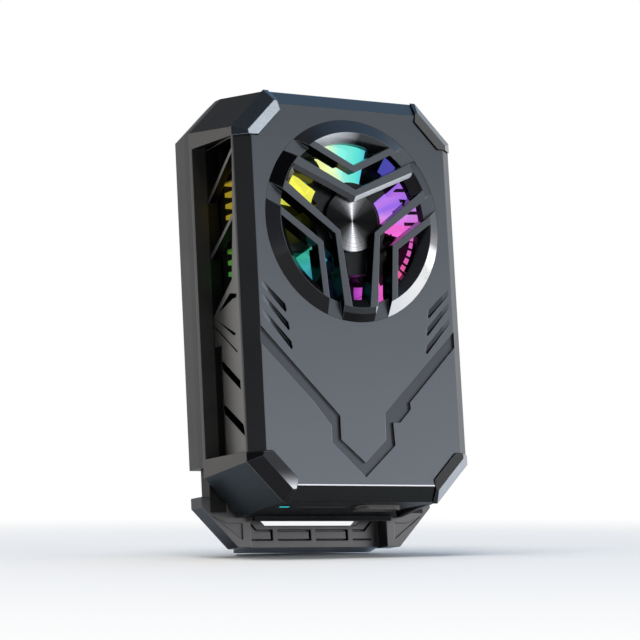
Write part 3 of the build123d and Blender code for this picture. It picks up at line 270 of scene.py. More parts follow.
COPPER = Finish("winding_copper", (0.45, 0.15, 0.06), 0.35, 1.0, 0.5, edge_share=0.0)
BOARD = Finish("board_green", (0.010, 0.055, 0.022), 0.35, 0.0, 0.5, edge_share=0.0)
BLACK_BOARD = Finish("board_black", (0.010, 0.010, 0.012), 0.4, 0.0, 0.5, edge_share=0.0)
CHIP = Finish("chip_black", (0.008, 0.008, 0.009), 0.35, 0.0, 0.5, edge_share=0.0)
MAGNET = Finish("magnet_grey", (0.05, 0.05, 0.05), 0.6, 0.3, 0.4, edge_share=0.0)

NODE_FINISH: dict[str, Finish] = {
    "corner_guard_top_left": GUARD_TOP_LEFT, "corner_guard_top_right": GUARD_TOP_RIGHT,
    "corner_guard_bottom_right": GUARD_LOW_RIGHT,
    "rear_cover": REAR, "thermal_pad": PAD, "cold_plate": BARE,
    "peltier_cold_ceramic": CERAMIC, "peltier_pellets": PELLET,
    "peltier_hot_ceramic": CERAMIC, "insulation_foam": FOAM,
    "heat_sink_screws": STEEL, "fan_screws": STEEL,
    "fan_bearing": BRASS, "fan_board": BOARD, "stator_core": STEEL,
    "stator_windings": COPPER, "rotor_yoke": STEEL,
    "rotor_magnet": MAGNET, "fan_shaft": STEEL, "light_chips": CERAMIC,
    "light_board": BLACK_BOARD, "control_board": BOARD, "board_screws": STEEL,
    "board_chips": CHIP, "usb_shell": STEEL, "usb_tongue": CHIP,
    "case_screws": STEEL, "back_screws": STEEL, "lower_jaw": JAW, "jaw_pad": GRIP,
    "jaw_rail_left": RAIL, "jaw_rail_right": RAIL, "jaw_screws": STEEL,
    "clamp_spring_left": STEEL, "clamp_spring_right": STEEL, "upper_hook": JAW,
    "hook_screws": STEEL, "hook_pad": GRIP,
}


def rgba(color: Color) -> tuple[float, float, float, float]:
    """Colour with full opacity."""
    return (*color, 1.0)


def by_turn(stops: Stops) -> Stops:
    """Stops by angle in degrees, as stops by share of a full turn."""
    return tuple((place / TURN_DEG, tone) for place, tone in stops)


class Graph:
    """Small helper that adds and joins shader nodes in one tree."""

    def __init__(self, tree: bpy.types.NodeTree) -> None:
        """Keep the tree that nodes are added to."""
        self.tree = tree

    def add(self, kind: str, **settings: object) -> bpy.types.Node:
        """Add one node.

        Args:
            kind: Blender's node type.
            settings: Attributes to set on it.

        Returns:
            The new node.
        """
        node = self.tree.nodes.new(kind)
        for key, value in settings.items():
            setattr(node, key, value)
        return node

    def link(self, source: Socket, target: Socket) -> None:
        """Join an output socket to an input socket."""
        self.tree.links.new(source, target)

    def feed(self, target: Socket, value: object) -> None:
        """Give an input socket a link or a plain value.

        Args:
            target: The input socket.
            value: An output socket, or the value.
        """
        if isinstance(value, Socket):
            self.link(value, target)
        else:
            target.default_value = value

    def math(self, operation: str, *values: object, clamp: bool = False) -> Socket:
        """Do one sum.

        Args:
            operation: Name of the Math node's operation.
            values: Its inputs in order, sockets or numbers.
            clamp: Whether the result is kept between nought and one.

        Returns:
            The result's socket.
        """
        node = self.add("ShaderNodeMath", operation=operation, use_clamp=clamp)
        for socket, value in zip(node.inputs, values):
            self.feed(socket, value)
        return node.outputs[0]

    def vector(self, operation: str, *values: object) -> bpy.types.Node:
        """Do one sum with vectors.

        Args:
            operation: Name of the Vector Math node's operation.
            values: Its inputs in order, sockets, vectors or, for the fourth, a number.

        Returns:
            The node, whose outputs are a vector and a number.
        """
        node = self.add("ShaderNodeVectorMath", operation=operation)
        for socket, value in zip(node.inputs, values):
            self.feed(socket, value)
        return node

    def dot(self, first: object, second: object) -> Socket:
        """Dot product of two vectors."""
        return self.vector("DOT_PRODUCT", first, second).outputs["Value"]

    def scale(self, color: object, amount: object) -> Socket:
        """Colour times a number."""
        return self.vector("SCALE", color, BLACK, BLACK, amount).outputs[0]

    def times(self, first: object, second: object) -> Socket:
        """Product of two numbers, or overlap of two masks."""
        return self.math("MULTIPLY", first, second)

    def size(self, value: object) -> Socket:
        """Number without its sign."""
        return self.math("ABSOLUTE", value)

    def over(self, value: object, bound: object) -> Socket:
        """Mask of the values over a bound."""
        return self.math("GREATER_THAN", value, bound)

    def under(self, value: object, bound: object) -> Socket:
        """Mask of the values under a bound."""
        return self.math("LESS_THAN", value, bound)

    def past(self, value: object, start: object, gain: object) -> Socket:
        """Mask that rises from a start with a gain."""
        return self.math("MULTIPLY", self.math("SUBTRACT", value, start), gain, clamp=True)

    def below(self, up: Socket, top: float, span: float) -> Socket:
        """Depth under a height as a share of a span."""
        return self.math("DIVIDE", self.math("SUBTRACT", top, up), span, clamp=True)

    def smooth(self, value: Socket, low: float, high: float) -> Socket:
        """Soft step between two values.

        Args:
            value: What the step goes by.
            low: Value where it is nought.
            high: Value where it is one.

        Returns:
            The step's socket.
        """
        node = self.add("ShaderNodeMapRange", interpolation_type="SMOOTHSTEP")
        self.link(value, node.inputs["Value"])
        node.inputs["From Min"].default_value = low
        node.inputs["From Max"].default_value = high
        return node.outputs["Result"]

    def mix(self, share: object, first: object, second: object) -> Socket:
        """Blend two colours.

        Args:
            share: How much of the second colour shows.
            first: First colour, a socket or RGB.
            second: Second colour.

        Returns:
            The blended colour's socket.
        """
        node = self.add("ShaderNodeMix", data_type="RGBA")
        self.feed(node.inputs[0], share)
        for socket, color in zip(node.inputs[6:8], (first, second)):
            self.feed(socket, rgba(color) if isinstance(color, tuple) else color)
        return node.outputs[2]

    def ramp(self, share: Socket, stops: Stops, mode: str = "LINEAR") -> Socket:
        """Turn a number into a colour.

        Args:
            share: Position along the ramp.
            stops: Pairs of position and colour, or number for a grey.
            mode: Interpolation name.

        Returns:
            The colour's socket.
        """
        node = self.add("ShaderNodeValToRGB")
        band = node.color_ramp
        band.interpolation = mode
        band.elements.remove(band.elements[-1])
        for index, (place, tone) in enumerate(stops):
            stop = band.elements[0] if index == 0 else band.elements.new(place)
            stop.position = place
            stop.color = rgba(tone if isinstance(tone, tuple) else (tone,) * 3)
        self.link(share, node.inputs[0])
        return node.outputs[0]

    def noise(self, place: Socket, scale: object, detail: float,
              along: bool = False) -> Socket:
        """Soft pattern that looks random.

        Args:
            place: Where it is read, a vector or, along a line, a number.
            scale: Its scale.
            detail: How much fine detail it has.
            along: Whether it runs along a line.

        Returns:
            The pattern's socket.
        """
        node = self.add("ShaderNodeTexNoise", noise_dimensions="1D" if along else "3D")
        self.link(place, node.inputs["W" if along else "Vector"])
        self.feed(node.inputs["Scale"], scale)
        node.inputs["Detail"].default_value = detail
        return node.outputs[0]

    def bump(self, height: Socket, depth: float, strength: float) -> bpy.types.Node:
        """Turn a height into relief.

        Args:
            height: The height's socket.
            depth: Depth of the relief.
            strength: How strongly it shows.

        Returns:
            The Bump node.
        """
        node = self.add("ShaderNodeBump")
        node.inputs["Distance"].default_value = depth
        node.inputs["Strength"].default_value = strength
        self.link(height, node.inputs["Height"])
        return node

    def place(self) -> Socket:
        """Position in the model's own frame, which turns with a piece."""
        return self.add("ShaderNodeTexCoord").outputs["Object"]

    def still_place(self) -> Socket:
        """Position in the model's frame that stays put while a piece turns."""
        return self.add("ShaderNodeNewGeometry").outputs["Position"]

    def normal(self) -> Socket:
        """Way that the surface faces in the model's own frame."""
        return self.add("ShaderNodeTexCoord").outputs["Normal"]

    def split(self, vector: Socket) -> tuple[Socket, Socket, Socket]:
        """Three components of a vector.

        Args:
            vector: The vector's socket.

        Returns:
            Its X, Y and Z.
        """
        node = self.add("ShaderNodeSeparateXYZ")
        self.link(vector, node.inputs[0])
        return node.outputs[0], node.outputs[1], node.outputs[2]

    def over_axis(self, up: Socket) -> Socket:
        """Height over the fan's axis."""
        return self.math("SUBTRACT", up, FAN_AXIS_Z)

    def length(self, across: Socket, height: Socket) -> Socket:
        """Length of a vector of two parts."""
        return self.math("SQRT", self.math(
            "ADD", self.times(across, across), self.times(height, height)))

    def off_seam(self) -> Socket:
        """Mask that is nought along the flush seam between the cover and the grille.

        Returns:
            The mask's socket.
        """
        across, _, up = self.split(self.place())
        reach = self.length(across, self.over_axis(up))
        on_seam = self.times(self.over(reach, RING_SEAM[0]), self.under(reach, RING_SEAM[1]))
        return self.math("SUBTRACT", 1.0, on_seam)

    def group(self, tree: bpy.types.NodeTree, **values: object) -> bpy.types.Node:
        """Put a shared group in the tree.

        Args:
            tree: The shared group.
            values: Value or socket for each named input.

        Returns:
            The group's node.
        """
        node = self.add("ShaderNodeGroup", node_tree=tree)
        for key, value in values.items():
            self.feed(node.inputs[key], value)
        return node

    def facing(self, facet: Facet) -> Socket:
        """Mask of one facet's faces.

        Args:
            facet: The facet.

        Returns:
            The mask's socket.
        """
        node = self.group(SHOP.facing(), Way=tuple(Vector(facet.way).normalized()),
                          Cosine=math.cos(math.radians(facet.reach_deg)), Gain=facet.gain)
        return node.outputs["Mask"]

    def put_out(self, **values: Socket) -> bpy.types.NodeTree:
        """Join a group's results to its outputs.

        Args:
            values: Socket for each named output.

        Returns:
            The finished group.
        """
        end = self.add("NodeGroupOutput")
        for key, value in values.items():
            self.link(value, end.inputs[key])
        return self.tree


class GroupShop:
    """Builds each shared shader node group once."""

    @staticmethod
    def _open(name: str, inputs: dict[str, object],
              outputs: dict[str, str]) -> tuple[Graph, dict[str, Socket]]:
        """Open a new group with named sockets.

        Args:
            name: Group name.
            inputs: Socket name to default, a number or a vector.
            outputs: Socket name to kind.

        Returns:
            The group's graph and its input sockets by name.
        """
        tree = bpy.data.node_groups.new(name, "ShaderNodeTree")
        for key, default in inputs.items():
            kind = "Vector" if isinstance(default, tuple) else "Float"
            socket = tree.interface.new_socket(key, in_out="INPUT",
                                               socket_type="NodeSocket" + kind)
            socket.default_value = default
        for key, kind in outputs.items():
            tree.interface.new_socket(key, in_out="OUTPUT", socket_type="NodeSocket" + kind)
        graph = Graph(tree)
        start = graph.add("NodeGroupInput")
        return graph, {socket.name: socket for socket in start.outputs}

    @cache
    def grain(self) -> bpy.types.NodeTree:
        """Fine relief, roughness variation and slow mottle of a moulded skin.

        Returns:
            The group.
        """
        graph, given = self._open(
            "moulded_grain", {"Scale": 5000.0, "Mottle": WEAR.mottle, "Roughness": 0.4},
            {"Height": "Float", "Shade": "Float", "Roughness": "Float"})
        place = graph.place()
        fine = graph.noise(place, given["Scale"], detail=2.0)
        slow = graph.noise(place, WEAR.mottle_scale, detail=4.0)
        swing = graph.math("SUBTRACT", slow, 0.5)
        shade = graph.math("MULTIPLY_ADD", swing, given["Mottle"], 1.0)
        rough = graph.math("MULTIPLY_ADD", swing, WEAR.slow_rough, given["Roughness"])
        rough = graph.math("MULTIPLY_ADD", graph.math("SUBTRACT", fine, 0.5),
                           WEAR.fine_rough, rough, clamp=True)
        return graph.put_out(Height=fine, Shade=shade, Roughness=rough)

    @cache
    def facing(self) -> bpy.types.NodeTree:
        """Mask of the faces that point about one way in the model's frame.

        Returns:
            The group.
        """
        graph, given = self._open(
            "facing_mask", {"Way": (0.0, 0.0, 1.0), "Cosine": 0.9, "Gain": 60.0},
            {"Mask": "Float"})
        turn = graph.dot(graph.normal(), given["Way"])
        return graph.put_out(Mask=graph.past(turn, given["Cosine"], given["Gain"]))

    @cache
    def edges(self) -> bpy.types.NodeTree:
        """Rounded normal and rubbed-edge mask of a sharp moulded body.

        Returns:
            The group.
        """
        graph, given = self._open("rubbed_edges", {"Width": WEAR.edge_width, "Share": 0.3},
                                  {"Mask": "Float", "Normal": "Vector"})
        bevel = graph.add("ShaderNodeBevel", samples=WEAR.edge_samples)
        graph.link(given["Width"], bevel.inputs["Radius"])
        rounded = bevel.outputs[0]
        plain = graph.add("ShaderNodeNewGeometry").outputs["Normal"]
        bend = graph.math("SUBTRACT", 1.0, graph.dot(rounded, plain), clamp=True)
        rubbed = graph.math("MULTIPLY", bend, WEAR.edge_gain, clamp=True)
        scratch = graph.noise(graph.place(), WEAR.scratch_scale, detail=5.0)
        broken = graph.math("MULTIPLY_ADD", scratch, *WEAR.scratch, clamp=True)
        mask = graph.math("MULTIPLY", graph.times(rubbed, broken), given["Share"], clamp=True)
        return graph.put_out(Mask=mask, Normal=rounded)

    @cache
    def glow(self) -> bpy.types.NodeTree:
        """Colour and level of the fan's slanted light, by angle and radius round the hub.

        Returns:
            The group.
        """
        graph, given = self._open("fan_glow", {"Depth": LIGHT.depth},
                                  {"Color": "Color", "Level": "Float"})
        flat_across, deep, flat_up = graph.split(graph.still_place())
        behind = graph.math("SUBTRACT", given["Depth"], deep)
        across = graph.math("MULTIPLY_ADD", behind, LIGHT.slant[0], flat_across)
        up = graph.math("MULTIPLY_ADD", behind, LIGHT.slant[1], flat_up)
        height = graph.over_axis(up)
        reach = graph.length(across, height)
        angle = graph.math("ARCTAN2", height, across)
        turn = graph.math("FRACT", graph.math(
            "ADD", graph.math("DIVIDE", angle, math.tau), 1.0))
        color = graph.ramp(turn, by_turn(LIGHT.colors))
        level = graph.ramp(turn, by_turn(LIGHT.levels), "CONSTANT")
        inner = graph.ramp(turn, by_turn(tuple(
            (place, radius / LIGHT.span) for place, radius in LIGHT.inner)), "CONSTANT")
        level = graph.times(level, graph.over(graph.math("DIVIDE", reach, LIGHT.span), inner))
        middle, half = (math.radians(place) for place in LIGHT.ribbed_deg)
        side = graph.over(graph.math("COSINE", graph.math("SUBTRACT", angle, middle)),
                          math.cos(half))
        rib = graph.under(graph.math("FRACT", graph.math("DIVIDE", height, LIGHT.rib_pitch)),
                          LIGHT.rib_share)
        rib = graph.times(rib, graph.over(reach, LIGHT.rib_radius))
        level = graph.math("SUBTRACT", level, graph.times(rib, side), clamp=True)
        arc = graph.times(graph.over(reach, LIGHT.arc_radius),
                          graph.over(turn, LIGHT.arc_deg / TURN_DEG))
        chip = graph.over(graph.math("FRACT", graph.times(turn, LIGHT.arc_chips)),
                          LIGHT.chip_gap)
        arc = graph.times(arc, graph.times(chip, LIGHT.arc_level))
        true_reach = graph.length(flat_across, graph.over_axis(flat_up))
        within = graph.under(true_reach, LIGHT.wall_radius)
        return graph.put_out(Color=color,
                             Level=graph.times(graph.math("MAXIMUM", level, arc), within))


SHOP = GroupShop()


class MaterialShop:
    """Makes each finish's material once."""

    @staticmethod
    def blank(name: str) -> tuple[bpy.types.Material, Graph, bpy.types.Node]:
        """New material with an empty Principled shader.

        Args:
            name: Material name.

        Returns:
            The material, its graph and its shader node.
        """
        material = bpy.data.materials.new("look_" + name)
        material.use_nodes = True
        graph = Graph(material.node_tree)
        shader = next(n for n in material.node_tree.nodes if n.type == "BSDF_PRINCIPLED")
        return material, graph, shader

    @staticmethod
    def lacquer(graph: Graph, shader: bpy.types.Node, finish: Finish,
                color: Socket | None = None, roughness: Socket | None = None,
                metallic: Socket | None = None, share: Socket | None = None,
                width: object = WEAR.edge_width) -> None:
        """Wire one solid finish into a shader.

        Args:
            graph: The material's graph.
            shader: Its Principled node.
            finish: The finish's values.
            color: Colour to use in place of the finish's own colour.
            roughness: Roughness to use in place of the finish's own.
            metallic: Metal share to use in place of the finish's own.
            share: How strongly the rubbed edges show, in place of the finish's own value.
            width: Width of the rounded edges.
        """
        scale, depth = finish.relief.value
        grain = graph.group(SHOP.grain(), Scale=scale, Mottle=WEAR.mottle,
                            Roughness=finish.roughness if roughness is None else roughness)
        tone: object = finish.color if color is None else color
        # Painted light and shade: faces that point a given way take their facet's tone.
        for facet in finish.facets:
            tone = graph.mix(graph.facing(facet), tone, facet.color)
        tone = graph.scale(tone, grain.outputs["Shade"])
        bump = graph.bump(grain.outputs["Height"], depth, WEAR.bump)
        if finish.edge_share > 0.0:
            edges = graph.group(SHOP.edges(), Width=width,
                                Share=finish.edge_share if share is None else share)
            tone = graph.mix(edges.outputs["Mask"], tone, finish.edge)
            graph.link(edges.outputs["Normal"], bump.inputs["Normal"])
        graph.link(tone, shader.inputs["Base Color"])
        graph.link(grain.outputs["Roughness"], shader.inputs["Roughness"])
        graph.link(bump.outputs[0], shader.inputs["Normal"])
        graph.feed(shader.inputs["Metallic"], finish.metallic if metallic is None else metallic)
        shader.inputs["Specular IOR Level"].default_value = finish.specular

    @cache
    def solid(self, finish: Finish) -> bpy.types.Material:
        """Material of a plain solid finish.

        Args:
            finish: The finish.

        Returns:
            The material.
        """
        material, graph, shader = self.blank(finish.name)
        self.lacquer(graph, shader, finish)
        return material


MATERIALS = MaterialShop()


def dress(node: bpy.types.Object, material: bpy.types.Material) -> None:
    """Give a carried CAD node one material in all its slots.

    Args:
        node: The CAD node's object.
        material: The material it gets.
    """
    if not node.material_slots:
        node.data.materials.append(material)
    for slot in node.material_slots:
        slot.material = material


@dataclass
class FrontCover:
    """Front plate with its bevels and engraving.

    Args:
        lit_low_tone: Plate colour at the bottom, painted lighter where more light falls.
        shaded_wall_tone: Painted shade on the engraved walls.
        highlight_tone: Colour of the painted highlight along the bottom edge.
        wall_from_deg: Angle from the front at which a face takes the walls' colour.
        tone_top: Height where the plate starts to get lighter.
        tone_span: Height over which it gets lighter.
        band_floor: Place along Y in front of which the plate keeps its full tone.
        band_share: Share of the plate's tone on the floor of the engraved band, a painted shade.
        line_height: Height of the plate's bottom edge, where the highlight is painted.
        line_half: Half the height of that painted highlight.
        line_front: Place along Y in front of which the painted highlight shows.
    """

    lit_low_tone: Color = (0.150, 0.158, 0.172)
    shaded_wall_tone: Color = (0.012, 0.012, 0.013)
    highlight_tone: Color = (0.90, 0.90, 0.92)
    wall_from_deg: float = 62.0
    tone_top: float = 34.0 * MM
    tone_span: float = 70.0 * MM
    band_floor: float = -23.75 * MM
    band_share: float = 0.62
    line_height: float = -36.2 * MM
    line_half: float = 0.22 * MM
    line_front: float = -23.6 * MM

    def material(self) -> bpy.types.Material:
        """Satin lacquer, painted lighter towards the bottom, with painted shade on the engraved
        walls and band floor and a painted highlight along the bottom edge.

        Returns:
            The material.
        """
        material, graph, shader = MATERIALS.blank("front_cover")
        _, deep, up = graph.split(graph.place())
        # Painted light: the plate lightens towards the bottom.
        low = graph.below(up, self.tone_top, self.tone_span)
        plate = graph.mix(low, COVER.color, self.lit_low_tone)
        # Painted shade on the floor of the engraved band.
        sunk = graph.over(deep, self.band_floor)
        plate = graph.scale(plate, graph.math("MULTIPLY_ADD", sunk, self.band_share - 1.0, 1.0))
        # Painted shade on faces turned away from the front: the engraved walls.
        front = graph.facing(Facet((0.0, -1.0, 0.0), self.shaded_wall_tone, self.wall_from_deg))
        color = graph.mix(front, self.shaded_wall_tone, plate)
        # Painted highlight: a bright line along the plate's bottom edge.
        off_line = graph.size(graph.math("SUBTRACT", up, self.line_height))
        line = graph.times(graph.under(off_line, self.line_half),
                           graph.under(deep, self.line_front))
        color = graph.mix(line, color, self.highlight_tone)
        rubbed = graph.times(graph.over(up, self.line_height), COVER.edge_share)
        whole = graph.off_seam()
        MATERIALS.lacquer(graph, shader, COVER, color=color, share=graph.times(rubbed, whole),
                          width=graph.times(whole, WEAR.edge_width))
        return material

    def build(self, nodes: Nodes) -> None:
        """Dress the cover."""
        dress(nodes["front_cover"], self.material())
        LOG.info("front cover dressed")


@dataclass
class FanGuard:
    """Grille insert: satin bars and polished slopes, with painted light and shade on the slopes,
    the inner walls and the arms' ends.

    Args:
        shaded_slope_tone: Painted shade on the slopes.
        shaded_wall_tone: Painted shade on the inner walls.
        slope_roughness: Roughness of the slopes.
        slope_step: Where a face counts as a slope, by its forward share, and the gain.
        flat_step: Where it counts as a flat bar, and the gain.
        low_highlight_facet: Painted highlight on the slopes that face up-right: the strip under
            the V and the ring's top.
        low_metallic: Metal share of those slopes.
        arc_highlight_facet: Painted highlight on part of the ring's outer slope.
        dark_facet: Painted shade on part of the ring's outer slope.
        slot_facet: Painted shade on the ring's slope at the right slot's end.
        arms: Number of arms.
        arm_phase: Turn of the arms' pattern, counted in arms.
        tip_half_deg: Half the angle that an arm's end covers.
        tip_radius: Radius beyond which the arms' ends are dark.
        rim_radius: Radius beyond which the lower arm's end is black.
        tip_tone: Painted shade on the arms' ends.
        tip_inner_tone: Painted shade on the lower arm's end inside that radius.
    """

    shaded_slope_tone: Color = (0.060, 0.062, 0.066)
    shaded_wall_tone: Color = (0.006, 0.006, 0.006)
    slope_roughness: float = 0.16
    slope_step: tuple[float, float] = (0.45, 20.0)
    flat_step: tuple[float, float] = (0.95, 60.0)
    low_highlight_facet: Facet = Facet((0.354, -0.707, -0.612), (0.86, 0.88, 0.92), 26.0, 11.0)
    low_metallic: float = 0.15
    arc_highlight_facet: Facet = Facet((0.28, -0.894, -0.36), (1.0, 1.0, 1.0), 18.0, 20.0)
    dark_facet: Facet = Facet((-0.29, -0.894, -0.34), (0.018, 0.018, 0.019), 15.0)
    slot_facet: Facet = Facet((-0.61, -0.707, -0.35), (0.010, 0.010, 0.012), 12.0)
    arms: int = 3
    arm_phase: float = 1.25
    tip_half_deg: float = 11.5
    tip_radius: float = 16.6 * MM
    rim_radius: float = 18.1 * MM
    tip_tone: Color = (0.008, 0.008, 0.009)
    tip_inner_tone: Color = (0.045, 0.048, 0.052)

    def tips(self, graph: Graph) -> tuple[Socket, Socket]:
        """Find the ends of the arms and their painted shade.

        Args:
            graph: The material's graph.

        Returns:
            Their mask and their colour.
        """
        across, _, up = graph.split(graph.place())
        height = graph.over_axis(up)
        reach = graph.length(across, height)
        angle = graph.math("ARCTAN2", height, across)
        arm = graph.math("FRACT", graph.math(
            "ADD", graph.math("DIVIDE", angle, math.tau / self.arms), self.arm_phase))
        beside = graph.size(graph.math("SUBTRACT", arm, 0.5))
        tip = graph.times(graph.under(beside, self.tip_half_deg * self.arms / TURN_DEG),
                          graph.over(reach, self.tip_radius))
        inner = graph.times(graph.under(height, 0.0), graph.under(reach, self.rim_radius))
        return tip, graph.mix(inner, self.tip_tone, self.tip_inner_tone)

    def material(self) -> bpy.types.Material:
        """Bars, slopes and walls told apart by the way that they face, each with its painted
        light or shade.

        Returns:
            The material.
        """
        material, graph, shader = MATERIALS.blank("fan_guard")
        _, deep, _ = graph.split(graph.normal())
        front = graph.times(deep, -1.0)
        flat = graph.past(front, *self.flat_step)
        # Painted shade on the slopes, with painted highlights and painted shade on facets that
        # face given ways.
        tone: object = self.shaded_slope_tone
        for facet in (self.low_highlight_facet, self.arc_highlight_facet, self.dark_facet, self.slot_facet):
            tone = graph.mix(graph.facing(facet), tone, facet.color)
        # Painted shade on the arms' ends.
        tip, tip_tone = self.tips(graph)
        tone = graph.mix(tip, tone, tip_tone)
        # Painted shade on the inner walls.
        color = graph.mix(graph.past(front, *self.slope_step), self.shaded_wall_tone, tone)
        color = graph.mix(flat, color, GUARD_BAR.color)
        rough = graph.math("MULTIPLY_ADD", flat, COVER.roughness - self.slope_roughness,
                           self.slope_roughness)
        metallic = graph.math("MULTIPLY_ADD", graph.facing(self.low_highlight_facet),
                              self.low_metallic - GUARD_BAR.metallic, GUARD_BAR.metallic)
        whole = graph.off_seam()
        MATERIALS.lacquer(graph, shader, GUARD_BAR, color=color, roughness=rough,
                          metallic=metallic, share=graph.times(whole, GUARD_BAR.edge_share),
                          width=graph.times(whole, WEAR.edge_width))
        return material

    def build(self, nodes: Nodes) -> None:
        """Dress the grille insert."""
        dress(nodes["fan_guard"], self.material())
        LOG.info("fan guard dressed")


@dataclass
class DarkCorner:
    """Bottom left corner guard in painted shade, whose narrow facet has a painted highlight at
    its lower end.

    Args:
        facet: The narrow facet and its painted tone at the top.
        lit_low_tone: Its painted highlight at the bottom.
        tone_top: Height where it starts to brighten.
        tone_span: Height over which it brightens.
        tone_power: How late in that height it does.
    """

    facet: Facet = Facet((-0.13, -0.98, -0.13), (0.045, 0.048, 0.053), 10.0)
    lit_low_tone: Color = (0.95, 0.97, 1.0)
    tone_top: float = -32.6 * MM
    tone_span: float = 3.8 * MM
    tone_power: float = 3.0

    def material(self) -> bpy.types.Material:
        """Near-black lacquer, a painted shade, with a painted highlight at the lower end of its
        facet.

        Returns:
            The material.
        """
        material, graph, shader = MATERIALS.blank(GUARD_LOW_LEFT.name)
        _, _, up = graph.split(graph.place())
        # Painted highlight: the narrow facet brightens towards its lower end.
        low = graph.math("POWER", graph.below(up, self.tone_top, self.tone_span),
                         self.tone_power)
        strip = graph.mix(low, self.facet.color, self.lit_low_tone)
        color = graph.mix(graph.facing(self.facet), GUARD_LOW_LEFT.color, strip)
        MATERIALS.lacquer(graph, shader, GUARD_LOW_LEFT, color=color)
        return material

    def build(self, nodes: Nodes) -> None:
        """Dress the guard."""
        dress(nodes["corner_guard_bottom_left"], self.material())
        LOG.info("dark corner dressed")


@dataclass
class SideParts:
    """Middle frame and side vents, with painted shade on their insides and under the body.

    Args:
        inner_half_width: Half width inside which the frame is dark.
        inner_half_height: Half height inside which it is dark.
        inner_back: Place along Y in front of which it is dark.
        inner_tone: Painted shade on the vents' insides.
        outward_step: Where a vent's face counts as outward, by its sideways share, and the gain.
        jamb_tone: Painted shade on the frame's inside.
        under_height: Height under which the socket's collar and the foot lip lie.
        lip_front: Place along Y behind which the foot lip lies.
        collar_tone: Painted shade on the collar's sides.
        lip_tone: Painted shade on the foot lip.
    """

    inner_half_width: float = 22.6 * MM
    inner_half_height: float = 36.0 * MM
    inner_back: float = -7.8 * MM
    inner_tone: Color = (0.005, 0.005, 0.005)
    outward_step: tuple[float, float] = (0.8, 20.0)
    jamb_tone: Color = (0.024, 0.024, 0.024)
    under_height: float = -40.12 * MM
    lip_front: float = -9.0 * MM
    collar_tone: Color = (0.062, 0.064, 0.066)
    lip_tone: Color = (0.014, 0.014, 0.015)

    def frame_material(self) -> bpy.types.Material:
        """Frame lacquer outside, with painted shade inside and under the body.

        Returns:
            The material.
        """
        material, graph, shader = MATERIALS.blank("middle_frame")
        across, deep, up = graph.split(graph.place())
        near = graph.under(graph.size(across), self.inner_half_width)
        level = graph.under(graph.size(up), self.inner_half_height)
        inside = graph.times(near, graph.times(level, graph.under(deep, self.inner_back)))
        under = graph.under(up, self.under_height)
        lip = graph.times(under, graph.over(deep, self.lip_front))
        # Painted shade inside the frame, on the collar's sides and on the foot lip.
        color = graph.mix(inside, FRAME.color, self.jamb_tone)
        color = graph.mix(under, color, self.collar_tone)
        MATERIALS.lacquer(graph, shader, FRAME, color=graph.mix(lip, color, self.lip_tone))
        return material

    def vent_material(self) -> bpy.types.Material:
        """Vent lacquer on the outward faces, painted shade on the walls of the openings.

        Returns:
            The material.
        """
        material, graph, shader = MATERIALS.blank("side_vents")
        across, _, _ = graph.split(graph.normal())
        outward = graph.past(graph.size(across), *self.outward_step)
        # Painted shade on the walls of the openings.
        color = graph.mix(outward, self.inner_tone, VENT.color)
        MATERIALS.lacquer(graph, shader, VENT, color=color)
        return material

    def build(self, nodes: Nodes) -> None:
        """Dress the frame and the vents.

        Args:
            nodes: The CAD nodes by name.
        """
        dress(nodes["middle_frame"], self.frame_material())
        vent = self.vent_material()
        dress(nodes["side_vent_left"], vent)
        dress(nodes["side_vent_right"], vent)
        LOG.info("frame and vents dressed")


